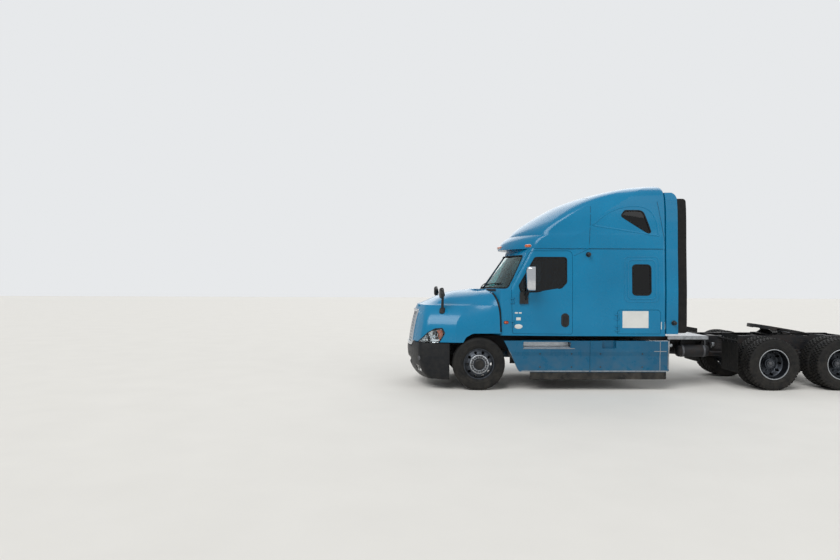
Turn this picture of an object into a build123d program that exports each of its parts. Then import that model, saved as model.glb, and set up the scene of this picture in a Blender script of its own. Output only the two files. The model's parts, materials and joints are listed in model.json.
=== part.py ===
"""Long-haul conventional tractor unit with a raised-roof sleeper and a tandem drive axle.

Millimetres. The front of the truck looks along -X, its left (driver's) side is at -Y and +Z is up.
Every piece is drawn with x measured from the front axle, and is moved on export so that the
origin lies on the ground in the middle of the truck. Left-hand pieces are drawn and mirrored.
"""

from build123d import *
import math
import os

# Distances along the truck
BUMPER_TO_AXLE = 1340
AXLE_TO_DRIVE = 5640
TANDEM_SPREAD = 1321
TAIL = 699
LENGTH = BUMPER_TO_AXLE + AXLE_TO_DRIVE + TANDEM_SPREAD + TAIL
ORIGIN_X = BUMPER_TO_AXLE - LENGTH / 2
DRIVE_AXLES = (AXLE_TO_DRIVE, AXLE_TO_DRIVE + TANDEM_SPREAD)
FRAME_END = AXLE_TO_DRIVE + TANDEM_SPREAD + TAIL

# Clearances: a clamped or glued fit, a running fit, two flat faces that only rest on each other
FIT = 0.4
RUNNING = 0.05
SEATED = 0.3
# Further out, and further ahead, than any piece: where cuts start
WIDE = 1600
AHEAD = -1600

# Wheels and tyres, after a 22.5 x 8.25 inch wheel. Widths are from the tyre's middle.
TYRE_RADIUS = 500
TYRE_HALF = 141
BEAD_RADIUS = 285.75
FLANGE_RADIUS = 298
FLANGE_WIDTH = 10
BEAD_SEAT = 16
RIM_HALF = 116
RIM_BORE = 270
DISC_OFFSET = 168
DISC_THICK = 22
STUD_CIRCLE = 285.75
STUD_COUNT = 10
NUT_ACROSS = 33
NUT_HEIGHT = 24
HAND_HOLES = 10
HAND_HOLE_CIRCLE = 450
HAND_HOLE_RADIUS = 28
HUB_RADIUS = 110
HUB_NECK = 86
HUB_CAP = 40
DRUM_RADIUS = 208
DRUM_WALL = 18
DRUM_FACE = 12
DRUM_WIDTH = 110
DRIVE_DRUM_WIDTH = 190
DRIVE_HUB_HALF = 60
DRIVE_CAP = (96, 130)
DRIVE_FLANGE = (70, 150)
FRONT_TYRE_Y = 1037
DUAL_Y = 916
SPINDLE_RADIUS = 45
AXLE_Z = TYRE_RADIUS

# Frame rails and what lies across them
RAIL_OUT = 432
RAIL_TOP = 985
RAIL_DEPTH = 268
RAIL_FLANGE = 89
RAIL_WALL = 9
RAIL_FRONT = -1120
TAIL_CUT = (320, 110)
RAIL_BOTTOM = RAIL_TOP - RAIL_DEPTH
WEB_IN = RAIL_OUT - RAIL_WALL
MEMBER_HALF = 60
MEMBER_WALL = 12
MEMBER_Z = (840, 960)
CROSSMEMBERS = (
    -925, 1750, 2900, AXLE_TO_DRIVE - 1440, AXLE_TO_DRIVE - 640, AXLE_TO_DRIVE + 310,
    AXLE_TO_DRIVE + 1010, FRAME_END - 260,
)

# Steering and front axle
KINGPIN_Y = 900
KINGPIN_RADIUS = 22
BOSS_RADIUS = 44
BOSS_LOW = AXLE_Z - 45
BOSS_HIGH = AXLE_Z + 55
BEAM_HALF = 45
BEAM_DROP = (AXLE_Z - 100, AXLE_Z - 10)
BEAM_BENDS = (640, 660, 770, 790)
YOKE_RADIUS = 48
YOKE_THICK = 36
YOKE_GAP = 2
YOKE_BACK = (56, 92)
STEER_ARM = 230
STEER_ARM_HALF = 22
ARM_CLEARANCE = 5
TIE_ROD_RADIUS = 15
TIE_EYE_RADIUS = 22
TIE_EYE_HALF = 18
TIE_PIN_RADIUS = 10

# Springs, cab mounts and rear arms
SPRING_Y = (350, 430)
SPRING_HALF = 640
SPRING_SEAT_Z = AXLE_Z + 20
SPRING_PAD_HALF = 40
LEAF_THICK = 45
LEAF_SAG = 152
AXLE_TUBE = 72
ARM_SEAT_Z = AXLE_Z + AXLE_TUBE + SEATED
ARM_Y = (390, 470)
ARM_FRONT = 620
ARM_TAIL = 450
ARM_TAIL_Z = (440, 480)
BAG_SET_BACK = 330
BAG_RADIUS = 125
CAB_MOUNTS = (860, 1700, 2600, 3400)
CAB_MOUNT_HALF = 50

# Engine, gearbox, radiator and drive line, each as (low, high) along x, y and z
ENGINE = ((-860, 110), (-330, 330), (600, 1560))
GEARBOX = ((110, 1450), (-260, 260), (650, 1010))
ENGINE_FEET = (-350, 60)
ENGINE_FOOT_Z = (850, 900)
RADIATOR = ((-1080, -1000), (-480, 480), (RAIL_TOP, 1470))
RADIATOR_FOOT = ((-1080, -1000), (-325, 325), (700, RAIL_TOP + 20))
BOWL_RADIUS = 215
BOWL_WIDTH = 150
NOSE_RADIUS = 105
NOSE_REACH = 330
NOSE_RISE = 60
SHAFT_RADIUS = 52
SHAFT_START_Z = 760
SHAFT_GAP = 3.5
CHAMBER_RADIUS = 58
CHAMBER_Y = 537
CHAMBER_Z = AXLE_Z + 62
CHAMBER_X = (-270, -84)

# Cab and sleeper
SILL_Z = 1035
BELT_Z = 1895
ROOF_Z = 2690
SLEEPER_BACK = 3560
SLEEPER_HALF = 1200
CAB_KNEE = 1830
CAB_FRONT = (420, SLEEPER_HALF - 104)
WALL = 45
GLASS = 6
GLASS_SET_BACK = 10
PANEL_GAP = 6
FLOOR_THICK = 60
FLOOR_STEP_WELL = 110
FLOOR_LOCKER_WELL = 12
CAB_CORNER = 60
BACK_SEAM = 80

# Doors and their hinges
DOOR_FRONT = 640
DOOR_REAR = 1768
DOOR_LOW = 1068
DOOR_TOP = 2650
DOOR_HINGES = (1260, 1700)
LUGGAGE_HINGES = (1180, 1400)
HINGE_SET_BACK = 25
HINGE_PROUD = 5
HINGE_PIN = 6
HINGE_KNUCKLE = 11
HINGE_HALF = 30
HINGE_EAR = 20
HINGE_EAR_GAP = 2
HINGE_EAR_HALF = 9
HINGE_EAR_REACH = 45
HINGE_ROOM = 4

# Hood, grille and bumper
HOOD_LOW = 905
HOOD_SKIN = 22
HOOD_GAP = 10
HOOD_PIVOT_X = -1257
HOOD_PIVOT_Z = 700
HOOD_ARM_Y = 380
HOOD_ARM_HALF = 10
HOOD_PIN = 12
GRILLE_HALF = 600
GRILLE_LOW = 815
GRILLE_TOP = 1500
GRILLE_TAPER = 60
GRILLE_FRAME = 45
GRILLE_PROUD = 8
MESH_WIDE = 120
MESH_TALL = 117
MESH_BAR = 13
MESH_DEPTH = (2, 16)
BUMPER_SKIN = 18
BUMPER_TOP = 888
BUMPER_END = -560
BUMPER_NOTCH_GAP = 14
BUMPER_NOTCH_DROP = 30
BRACKET_THICK = 10
FOG_LAMP_Y = 850
FOG_LAMP_Z = 390
FOG_LAMP = (230, 120, 40)

# Roof and side extenders
ROOF_SKIN = 40
VISOR_THICK = 14
EXTENDER_REAR = 3783
EXTENDER_SKIN = 22
EXTENDER_TOP = 3790
EDGE_REAR = 3953
EDGE_SKIN = 8
EDGE_SET_IN = 7
EDGE_TOP = 3660

# Chassis fairings: the lower part tucks in below a crease
FAIRING_OUT = SLEEPER_HALF + 12
FAIRING_TOP = 945
FAIRING_CREASE = (735, 659)
FAIRING_TUCK = 14
FAIRING_LOW = 361
FAIRING_REAR = 3613
FAIRING_SKIN = 18
FAIRING_LIP = 70
FAIRING_SEAM = 2099
STEP_DEPTH = 192
NOTCH_DEPTH = 88
NOTCH_SKIN = 12
SKIRT_LOW = 215
SKIRT_IN = 20
SKIRT_THICK = 8
BRACES = (820, 1830, 3480)
BRACE_HALF = 20

# Tanks, boxes, deck, fenders and flaps
TANK_X = 2640
TANK_Y = 800
TANK_RADIUS = 318
TANK_LENGTH = 1500
TANK_SET_DOWN = 330
TANK_STRAPS = (2100, 3180)
TANK_STRAP_HALF = 30
SIDE_BOX = ((880, 1780), (-1100, -RAIL_OUT), (420, 785))
DECK_FRONT = SLEEPER_BACK + 240
DECK_REAR = AXLE_TO_DRIVE - 1020
DECK_HALF = 650
DECK_THICK = 8
DECK_EDGE = 60
FLAP_THICK = 8
FENDER_X = AXLE_TO_DRIVE - 705
FENDER_Y = (560, 1200)
FENDER_Z = (340, 1060)
FENDER_ARM_Z = 950
FLAP_X = FRAME_END - 96
FLAP_Y = (610, 1225)
FLAP_Z = (300, 880)
FLAP_ARM_Z = 890
FLAP_ARM_RADIUS = 22

# Fifth wheel, after a 2 inch kingpin
FIFTH_X = AXLE_TO_DRIVE + 650
FIFTH_PIVOT_Z = RAIL_TOP + 63
FIFTH_TOP = 80
FIFTH_THICK = 30
FIFTH_RADIUS = 490
FIFTH_HALF = 455
FIFTH_TILT = 9.6
FIFTH_REAR = 460
FIFTH_SHOULDER = (200, -300)
FIFTH_HORN = (330, 175)
THROAT_DEPTH = 130
KINGPIN_THROAT = 25.4 + FIT
FIFTH_PIN = 20
POST_Y = (330, 372)
POST_FOOT = 170
POST_TOP = 40
EAR_THICK = 36
EAR_GAP = 8
BASE_HALF = 260
BASE_THICK = 14
RAMP = (500, 890)
RAMP_RISE = (44, 4)
RIB_THICK = 14
RIB_DEPTH = 42

# Inside the cab
DASH_TOP = BELT_Z - WALL
DASH_LOW = 1430
COLUMN_RADIUS = 22
STEERING_CENTRE = (1010, -560, 1830)
STEERING_RAKE = 33
STEERING_RIM = (225, 17)
STEERING_HUB = (70, 40)
SPOKE_TURNS = (90, 210, 330)
SEAT_Y = (-820, -300)
BUNK_Z = (1570, 1610)
BUNK_FRONT = 2700
MATTRESS_TOP = 1750

# Mirrors
MIRROR_HEAD = (940, -(SLEEPER_HALF + 190), 2116)
MIRROR_SIZE = (150, 210, 440)
MIRROR_CORNER = 45
MIRROR_ARM = 16
HOOD_MIRROR_FOOT = (-686, -920, 1440)
HOOD_MIRROR_HEAD = (-686, -1070, 1835)
HOOD_MIRROR_LEAN = 78


def unit(v):
    """The 2-D vector v at length 1."""
    size = math.hypot(*v)
    return (v[0] / size, v[1] / size)


def meet(p, d, q, e):
    """Where the line through p along d meets the line through q along e."""
    cross = d[0] * e[1] - d[1] * e[0]
    t = ((q[0] - p[0]) * e[1] - (q[1] - p[1]) * e[0]) / cross
    return (p[0] + t * d[0], p[1] + t * d[1])


def rounded(points, radii):
    """A face in the XY plane: the polygon through points with each corner rounded by its radius."""
    count = len(points)
    if not hasattr(radii, "__len__"):
        radii = [radii] * count
    corners = []
    for i, (p, r) in enumerate(zip(points, radii)):
        if r == 0:
            corners.append((p, p, p))
            continue
        a = unit((points[i - 1][0] - p[0], points[i - 1][1] - p[1]))
        b = unit((points[(i + 1) % count][0] - p[0], points[(i + 1) % count][1] - p[1]))
        half = math.acos(max(-1, min(1, a[0] * b[0] + a[1] * b[1]))) / 2
        run = r / math.tan(half)
        mid = unit((a[0] + b[0], a[1] + b[1]))
        reach = r / math.sin(half) - r
        corners.append((
            (p[0] + a[0] * run, p[1] + a[1] * run),
            (p[0] + mid[0] * reach, p[1] + mid[1] * reach),
            (p[0] + b[0] * run, p[1] + b[1] * run),
        ))
    edges = []
    for i, (start, middle, end) in enumerate(corners):
        if start != end:
            edges.append(ThreePointArc(start, middle, end))
        edges.append(Line(end, corners[(i + 1) % count][0]))
    return make_face(Wire(edges))


def side_slab(face, y0, y1):
    """The face, drawn as (x, z), swept from y0 to y1."""
    return Pos(0, y1, 0) * extrude(Plane.XZ * face, y1 - y0)


def front_slab(face, x0, x1):
    """The face, drawn as (y, z), swept from x0 to x1."""
    return Pos(x0, 0, 0) * extrude(Plane.YZ * face, x1 - x0)


def plan_slab(face, z0, z1):
    """The face, drawn as (x, y), swept from z0 to z1."""
    return Pos(0, 0, z0) * extrude(face, z1 - z0)


def block(x, y, z):
    """A box from its three (low, high) pairs."""
    size = [b - a for a, b in (x, y, z)]
    return Pos(*[(a + b) / 2 for a, b in (x, y, z)]) * Box(*size)


def rod(start, end, radius):
    """A round bar between two points."""
    axis = Vector(*end) - Vector(*start)
    return extrude(Plane(origin=start, z_dir=axis) * Circle(radius), axis.length)


def both(left):
    """The left-hand piece with its right-hand twin."""
    return [left, mirror(left, Plane.XZ)]


def nose_outline(z, nose, bow, front, mid, back, corner, rear=0, inset=0):
    """Plan outline at height z of a body with a bowed nose, as a face.

    nose is the foremost x, bow the nose's plan radius. front, mid and back are (x, half width)
    points of the side, corner the radius between nose and side, and rear that of the back corners.
    inset moves the whole outline in by that much.
    """
    to_front = unit((front[0] - mid[0], front[1] - mid[1]))
    to_mid = unit((mid[0] - back[0], mid[1] - back[1]))
    in_front = (-to_front[1], to_front[0])
    in_rear = (-to_mid[1], to_mid[0])
    centre = (nose + bow, 0)
    base = (mid[0] + in_front[0] * corner, mid[1] + in_front[1] * corner)
    off = (base[0] - centre[0], base[1] - centre[1])
    b = off[0] * to_front[0] + off[1] * to_front[1]
    c = off[0] ** 2 + off[1] ** 2 - (bow - corner) ** 2
    t = -b + math.sqrt(b * b - c)
    hub = (base[0] + t * to_front[0], base[1] + t * to_front[1])
    r = corner - inset
    on_side = (hub[0] - in_front[0] * r, hub[1] - in_front[1] * r)
    out = unit((hub[0] - centre[0], hub[1] - centre[1]))
    on_nose = (centre[0] + out[0] * (bow - inset), out[1] * (bow - inset))
    lean = unit((out[0] - in_front[0], out[1] - in_front[1]))
    between = (hub[0] + lean[0] * r, hub[1] + lean[1] * r)
    knee = meet(
        (mid[0] + in_front[0] * inset, mid[1] + in_front[1] * inset), to_front,
        (back[0] + in_rear[0] * inset, back[1] + in_rear[1] * inset), to_mid,
    )
    heel = meet(knee, to_mid, (back[0] - inset, 0), (0, 1))
    upper = []
    if rear > inset:
        turn = rear - inset
        pivot = meet(
            (heel[0] - turn, 0), (0, 1),
            (heel[0] + in_rear[0] * turn, heel[1] + in_rear[1] * turn), to_mid,
        )
        start = (heel[0], pivot[1])
        end = (pivot[0] - in_rear[0] * turn, pivot[1] - in_rear[1] * turn)
        bulge = unit((1 - in_rear[0], -in_rear[1]))
        upper.append(("arc", start, (pivot[0] + bulge[0] * turn, pivot[1] + bulge[1] * turn), end))
        heel_side, heel_back = end, start
    else:
        heel_side, heel_back = heel, heel
    upper.append(("line", heel_side, knee))
    upper.append(("line", knee, on_side))
    upper.append(("arc", on_side, between, on_nose))

    def flip(p):
        return (p[0], -p[1])

    edges = []
    for kind, *pts in upper:
        edges.append(Line(*pts) if kind == "line" else ThreePointArc(*pts))
    edges.append(ThreePointArc(on_nose, (nose + inset, 0), flip(on_nose)))
    for kind, *pts in reversed(upper):
        turned = [flip(p) for p in reversed(pts)]
        edges.append(Line(*turned) if kind == "line" else ThreePointArc(*turned))
    edges.append(Line(flip(heel_back), heel_back))
    return Pos(0, 0, z) * make_face(Wire(edges))


def between_rows(rows, z):
    """The row of a table at height z, straight between its first and last rows."""
    low, high = rows[0], rows[-1]
    share = (z - low[0]) / (high[0] - low[0])

    def mix(a, b):
        if isinstance(a, tuple):
            return tuple(mix(p, q) for p, q in zip(a, b))
        return a + (b - a) * share

    return [z] + [mix(a, b) for a, b in zip(low[1:], high[1:])]


def side_half(x):
    """Half width of the lower cab at x."""
    if x > CAB_KNEE:
        return SLEEPER_HALF
    share = (x - CAB_FRONT[0]) / (CAB_KNEE - CAB_FRONT[0])
    return CAB_FRONT[1] + share * (SLEEPER_HALF - CAB_FRONT[1])


def outlines(table, rear):
    """Rows for nose_outline from a table of widths given as distances inside the sleeper's sides."""
    return tuple(
        (z, nose, bow, (front, SLEEPER_HALF - front_in), (mid, SLEEPER_HALF - mid_in),
         (rear, SLEEPER_HALF - rear_in), corner)
        for z, nose, bow, front, front_in, mid, mid_in, rear_in, corner in table
    )


# Columns of every outline table: z, nose x, nose radius, front x, front inset, mid x, mid inset,
# rear inset, corner radius. Insets are measured inwards from the sleeper's sides.
CAB_LOWER = outlines((
    (SILL_Z, 165, 2500, CAB_FRONT[0], 104, CAB_KNEE, 0, 0, 70),
    (BELT_Z, 165, 2500, CAB_FRONT[0], 104, CAB_KNEE, 0, 0, 70),
), SLEEPER_BACK)
CAB_UPPER = outlines((
    (BELT_Z, 181, 1650, 600, SLEEPER_HALF - side_half(600), CAB_KNEE, 0, 0, 130),
    (ROOF_Z, 732, 2450, 1000, 94, CAB_KNEE, 35, 35, 170),
), SLEEPER_BACK)
ROOF = outlines((
    (ROOF_Z, 525, 1430, 1000, 90, 1700, 28, 28, 140),
    (ROOF_Z + 130, 575, 1450, 1020, 92, 1700, 31, 31, 180),
    (ROOF_Z + 270, 765, 1500, 1200, 96, 1850, 36, 36, 230),
    (ROOF_Z + 530, 1050, 1600, 1500, 104, 2200, 46, 46, 280),
    (ROOF_Z + 770, 1440, 1700, 1900, 120, 2500, 62, 60, 330),
    (ROOF_Z + 950, 1820, 1800, 2300, 150, 2800, 94, 88, 360),
    (ROOF_Z + 1090, 2260, 1900, 2700, 220, 3000, 160, 150, 360),
    (ROOF_Z + 1190, 2710, 2000, 3050, 370, 3200, 300, 280, 300),
    (ROOF_Z + 1260, 3180, 2000, 3320, 660, 3420, 600, 580, 180),
), SLEEPER_BACK)
HOOD = outlines((
    (HOOD_LOW, -1312, 2600, -940, 115, -450, 14, 60, 150),
    (1150, -1274, 2500, -900, 120, -450, 20, 64, 170),
    (1330, -1235, 2400, -860, 160, -400, 60, 70, 200),
    (1470, -1195, 2200, -800, 240, -300, 130, 82, 240),
    (1600, -1140, 1900, -740, 340, -200, 215, 104, 260),
    (1690, -905, 1700, -500, 430, 0, 295, 138, 280),
    (1790, -680, 1500, -250, 520, 100, 390, 200, 280),
    (1860, -400, 1400, 0, 640, 200, 500, 300, 240),
    (1905, -80, 1400, 150, 720, 300, 640, 440, 200),
), CAB_FRONT[0] + 20)
BUMPER = outlines((
    (205, -1140, 2600, -900, 160, -600, 70, 70, 160),
    (391, -1275, 2600, -940, 125, -600, 30, 30, 160),
    (600, -1331, 2600, -950, 115, -600, 20, 20, 160),
    (741, -BUMPER_TO_AXLE, 2600, -950, 115, -600, 20, 20, 160),
    (BUMPER_TOP, -1316, 2600, -940, 125, -600, 24, 24, 150),
), -300)
# The nose of the hood alone, run down to the grille's lower edge
HOOD_FACE = outlines((
    (780, -1326, 2600, -940, 115, -450, 14, 60, 150),
), CAB_FRONT[0] + 20) + HOOD[:5]
# The rows at which the roof's brow and the hood's lip make a crease
ROOF_BROW = 2
HOOD_LIP = 4

# Side outlines: points (x, z) and corner radii
DOOR_SHAPE = (
    ((DOOR_FRONT, DOOR_LOW), (DOOR_REAR, DOOR_LOW), (DOOR_REAR, DOOR_TOP), (975, DOOR_TOP), (612, 1960)),
    (40, 40, 90, 120, 20),
)
DOOR_WINDOW = (
    ((790, 1862), (1100, 1868), (1560, 1945), (1655, 2050), (1657, 2522), (1060, 2522), (760, 1985)),
    (45, 300, 60, 60, 50, 60, 40),
)
LUGGAGE_DOOR = (((2615, 1075), (3450, 1075), (3450, 1535), (2615, 1535)), (25, 25, 70, 70))
LOWER_WINDOW = (((2907, 1816), (3260, 1816), (3260, 2387), (2907, 2387)), 70)
UPPER_WINDOW = (((2690, 3320), (3312, 2920), (3110, 3420), (2770, 3420)), (40, 45, 110, 50))
HEADLIGHT = (
    ((-1150, HOOD_LOW), (-765, 885), (-650, 1075), (-690, 1170), (-830, 1160), (-965, 1085)),
    (10, 20, 30, 30, 60, 60),
)
WHEEL_ARCH = (
    ((-330, 850), (-250, 1000), (-120, 1076), (600, 1076), (600, 800), (-330, 800)),
    (0, 60, 160, 0, 0, 0),
)
FAIRING_SHAPE = (
    ((466, FAIRING_TOP), (619, 657), (721, 420), (760, FAIRING_LOW),
     (FAIRING_REAR, FAIRING_LOW), (FAIRING_REAR, FAIRING_TOP)),
    (10, 200, 80, 20, 40, 10),
)
STEP_RECESS = (((830, 815), (1735, 815), (1735, 925), (830, 925)), 25)
FILLER_NOTCH = (((2328, 802), (2596, 802), (2596, 1000), (2328, 1000)), (20, 20, 0, 0))
# Front outlines: points (y, z) and corner radii
PANE = (((22, 1935), (22, 2560), (965, 2560), (1035, 1935)), (30, 30, 60, 60))
GRILLE_MOUTH = (
    ((-GRILLE_HALF, GRILLE_LOW), (GRILLE_HALF, GRILLE_LOW),
     (GRILLE_HALF - GRILLE_TAPER, GRILLE_TOP), (GRILLE_TAPER - GRILLE_HALF, GRILLE_TOP)), 60,
)
BUMPER_INLET = (((-430, 420), (430, 420), (470, 560), (-470, 560)), 40)


def loft_rows(rows, inset, ruled=False, drop=None):
    """The loft through rows of nose outlines, moved in by inset."""
    drop = inset if drop is None else drop
    faces = [
        nose_outline(z - drop, nose, bow, front, mid, back, corner, CAB_CORNER, inset)
        for z, nose, bow, front, mid, back, corner in rows
    ]
    return loft(faces, ruled=ruled)


def split_loft(rows, crease, inset):
    """Two lofts that meet in a crease at one of the rows."""
    return loft_rows(rows[:crease + 1], inset) + loft_rows(rows[crease:], inset)


def cab_body(inset, over=0):
    """The cab and sleeper below the roof, moved in by inset and run past its open ends by over."""
    low, high = SILL_Z - over, ROOF_Z + over
    belt = BELT_Z - inset
    lower = nose_outline(*between_rows(CAB_LOWER, low), CAB_CORNER, inset)
    upper = [
        nose_outline(belt, *CAB_UPPER[0][1:], CAB_CORNER, inset),
        nose_outline(*between_rows(CAB_UPPER, high), CAB_CORNER, inset),
    ]
    return extrude(lower, belt - low) + loft(upper, ruled=True)


def cab_plan(inset, z0, z1):
    """A slab of the lower cab's plan, moved in by inset."""
    return extrude(nose_outline(*between_rows(CAB_LOWER, z0), CAB_CORNER, inset), z1 - z0)


def near(shape, gap=0, y0=-WIDE, y1=-500):
    """A side outline, shrunk by gap, as a slab through the left wall."""
    face = rounded(*shape)
    if gap:
        face = offset(face, -gap)
    return side_slab(face, y0, y1)


def through(shape, gap=0):
    """A side outline, shrunk by gap, as a slab through the whole width."""
    return near(shape, gap, -WIDE, WIDE)


def ahead(face, behind=-900):
    """A front outline as a slab from ahead of the truck to behind."""
    return front_slab(face, AHEAD, behind)


def panes(gap=0):
    """Both windshield panes, shrunk by gap, as slabs from the nose into the cab."""
    face = rounded(*PANE)
    if gap:
        face = offset(face, -gap)
    right = front_slab(face, 0, DOOR_REAR)
    return right + mirror(right, Plane.XZ)


def solids(shape):
    """The solids of a shape, largest first."""
    return sorted(shape.solids(), key=lambda s: -s.volume)


def main_solid(shape):
    """The largest solid of a shape."""
    return solids(shape)[0]


def either_side(y0, y1, side):
    """The (low, high) pair y0 to y1 on the side -1 or 1."""
    return tuple(sorted((side * y0, side * y1)))


# Door hinges

def hinge_line(x):
    """The y of a side hinge's axis at x, proud of the lower wall on the left."""
    return -(side_half(x) + HINGE_PROUD)


def door_hinge(x, edge, heights):
    """A left door's hinges at x: what the door gains, what it loses, and what the wall gains.

    edge is the x of the door's front edge.
    """
    y = hinge_line(x)
    room = HINGE_ROOM
    gains, losses, wall = [], [], []
    for z in heights:
        ring = Pos(x, y, z) * (Cylinder(HINGE_KNUCKLE, 2 * HINGE_HALF)
                               - Cylinder(HINGE_PIN + RUNNING, 2 * HINGE_HALF))
        gains.append(ring)
        losses.append(Pos(x, y, z) * Cylinder(HINGE_PIN + RUNNING, 2 * HINGE_HALF))
        pin_half = HINGE_HALF + HINGE_EAR_GAP + HINGE_EAR
        wall.append(Pos(x, y, z) * Cylinder(HINGE_PIN, 2 * pin_half))
        for side in (-1, 1):
            low, high = sorted((z + side * (HINGE_HALF + HINGE_EAR_GAP), z + side * pin_half))
            mid = (low + high) / 2
            arm_x = (edge - HINGE_EAR_REACH, x)
            wall.append(Pos(x, y, mid) * Cylinder(HINGE_KNUCKLE, high - low))
            wall.append(block(arm_x, (y - HINGE_EAR_HALF, y + HINGE_EAR_HALF), (low, high)))
            losses.append(Pos(x, y, mid) * Cylinder(HINGE_KNUCKLE + room + 1, high - low + 2 * room))
            losses.append(block(arm_x, (y - HINGE_EAR_HALF - room + 1, y + HINGE_EAR_HALF + room + 2),
                                (low - room, high + room)))
    return gains, losses, wall


def hinged_panel(shell, shape, window, heights):
    """A left door cut from the shell, with its hinge halves, and the hinge ears of the wall."""
    edge = shape[0][0][0]
    gains, losses, ears = door_hinge(edge + HINGE_SET_BACK, edge, heights)
    door = shell & near(shape, PANEL_GAP)
    if window:
        door = door - near(window)
    for piece in losses:
        door = door - piece
    for piece in gains:
        door = door + piece
    return main_solid(door), ears


def build_cab():
    """Cab walls, doors, glass, floor and roof, keyed by node."""
    below, above = SILL_Z - 135, ROOF_Z + 110
    shell = cab_body(0) - cab_body(WALL, 5)
    glass_shell = cab_body(GLASS_SET_BACK) - cab_body(GLASS_SET_BACK + GLASS, 5)
    front_edge = rounded([(-200, below), (DOOR_FRONT, below), (DOOR_FRONT, DOOR_LOW), DOOR_SHAPE[0][4],
                          DOOR_SHAPE[0][3], (DOOR_SHAPE[0][3][0] + 22, above), (-200, above)], 0)
    front_zone = side_slab(front_edge, -WIDE, WIDE)
    back_zone = block((SLEEPER_BACK - BACK_SEAM, SLEEPER_BACK + 100), (-WIDE, WIDE), (below, above))
    door, ears = hinged_panel(shell, DOOR_SHAPE, DOOR_WINDOW, DOOR_HINGES)
    bag_door, bag_ears = hinged_panel(shell, LUGGAGE_DOOR, None, LUGGAGE_HINGES)

    front = (shell & front_zone) - panes()
    for ear in ears:
        front = front + ear + mirror(ear, Plane.XZ)
    left_zone = block((0, SLEEPER_BACK - BACK_SEAM), (-WIDE, 0), (below, above))
    side = (shell & left_zone) - front_zone - near(DOOR_SHAPE) - near(LUGGAGE_DOOR) - near(LOWER_WINDOW)
    for ear in bag_ears:
        side = side + ear
    side = main_solid(side)
    rear = main_solid(shell & back_zone)

    door_glass = main_solid(glass_shell & near(DOOR_WINDOW, FIT))
    sleeper_glass = main_solid(glass_shell & near(LOWER_WINDOW, FIT))
    windshield = glass_shell & panes(FIT)

    floor = cab_plan(WALL, SILL_Z, SILL_Z + FLOOR_THICK)
    inner = SLEEPER_HALF - WALL
    locker = LUGGAGE_DOOR[0]
    for x0, x1, depth in ((DOOR_FRONT - 20, DOOR_REAR + 10, FLOOR_STEP_WELL),
                          (locker[0][0] - 15, locker[1][0] + 15, FLOOR_LOCKER_WELL)):
        well = block((x0, x1), (-WIDE, depth - inner), (below, SILL_Z + 2 * FLOOR_THICK))
        floor = floor - well - mirror(well, Plane.XZ)

    return {
        "cab_front": [main_solid(front)],
        "cab_side_left": [side],
        "cab_side_right": [mirror(side, Plane.XZ)],
        "rear_wall": [rear],
        "cab_floor": [main_solid(floor)],
        "door_left": [door],
        "door_right": [mirror(door, Plane.XZ)],
        "door_glass_left": [door_glass],
        "door_glass_right": [mirror(door_glass, Plane.XZ)],
        "luggage_door_left": [bag_door],
        "luggage_door_right": [mirror(bag_door, Plane.XZ)],
    }, solids(windshield) + both(sleeper_glass)


def build_roof():
    """The raised roof with its sun visor lip, and its window glass."""
    roof = split_loft(ROOF, ROOF_BROW, 0) - split_loft(ROOF, ROOF_BROW, ROOF_SKIN)
    visor = extrude(nose_outline(*ROOF[0], CAB_CORNER, ROOF_SKIN - 8), VISOR_THICK)
    mouth = extrude(nose_outline(*between_rows(CAB_UPPER, ROOF_Z), CAB_CORNER, WALL), VISOR_THICK)
    roof = roof + (visor - mouth)
    glass = near(UPPER_WINDOW, FIT) & split_loft(ROOF, ROOF_BROW, GLASS_SET_BACK)
    glass = glass - split_loft(ROOF, ROOF_BROW, GLASS_SET_BACK + GLASS)
    roof = roof - through(UPPER_WINDOW)
    return main_solid(roof), both(main_solid(glass))


def build_body():
    """Cab and roof together, with all fixed glass in one node."""
    nodes, glass = build_cab()
    roof, roof_glass = build_roof()
    nodes["roof"] = [roof]
    nodes["windows"] = glass + roof_glass
    return nodes


def build_extenders():
    """Side extenders behind the sleeper and their rubber edges."""
    foot = SILL_Z + CAB_MOUNT_HALF - 10
    outline = [(SLEEPER_HALF, foot), (SLEEPER_HALF, BELT_Z)]
    outline += [(back[1] - (7 if z == ROOF_Z else 0), z) for z, *_, back, _ in ROOF[:1] + ROOF[3:7]]

    def leaf(skin, set_in):
        outer = [(-y + set_in, z) for y, z in outline]
        inner = [(-y + set_in + skin, z) for y, z in reversed(outline)]
        return rounded(outer + inner, 0)

    start = SLEEPER_BACK + SEATED
    panel_side = rounded([(start, foot), (EXTENDER_REAR, foot), (EXTENDER_REAR, EXTENDER_TOP),
                          (start, EXTENDER_TOP)], (10, 10, 130, 10))
    edge_side = rounded([(EXTENDER_REAR, foot + 20), (EDGE_REAR, foot + 20),
                         (EDGE_REAR, EDGE_TOP), (EXTENDER_REAR, EDGE_TOP)], (10, 40, 60, 10))
    panel = front_slab(leaf(EXTENDER_SKIN, 0), start, EXTENDER_REAR)
    panel = panel + front_slab(leaf(CAB_CORNER + 20, 0), start, SLEEPER_BACK + 20)
    panel = panel & side_slab(panel_side, -WIDE, 0)
    edge = front_slab(leaf(EDGE_SKIN, EDGE_SET_IN), EXTENDER_REAR, EDGE_REAR)
    edge = edge & side_slab(edge_side, -WIDE, 0)
    return {
        "side_extenders": both(main_solid(panel)),
        "extender_edges": both(main_solid(edge)),
    }


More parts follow.
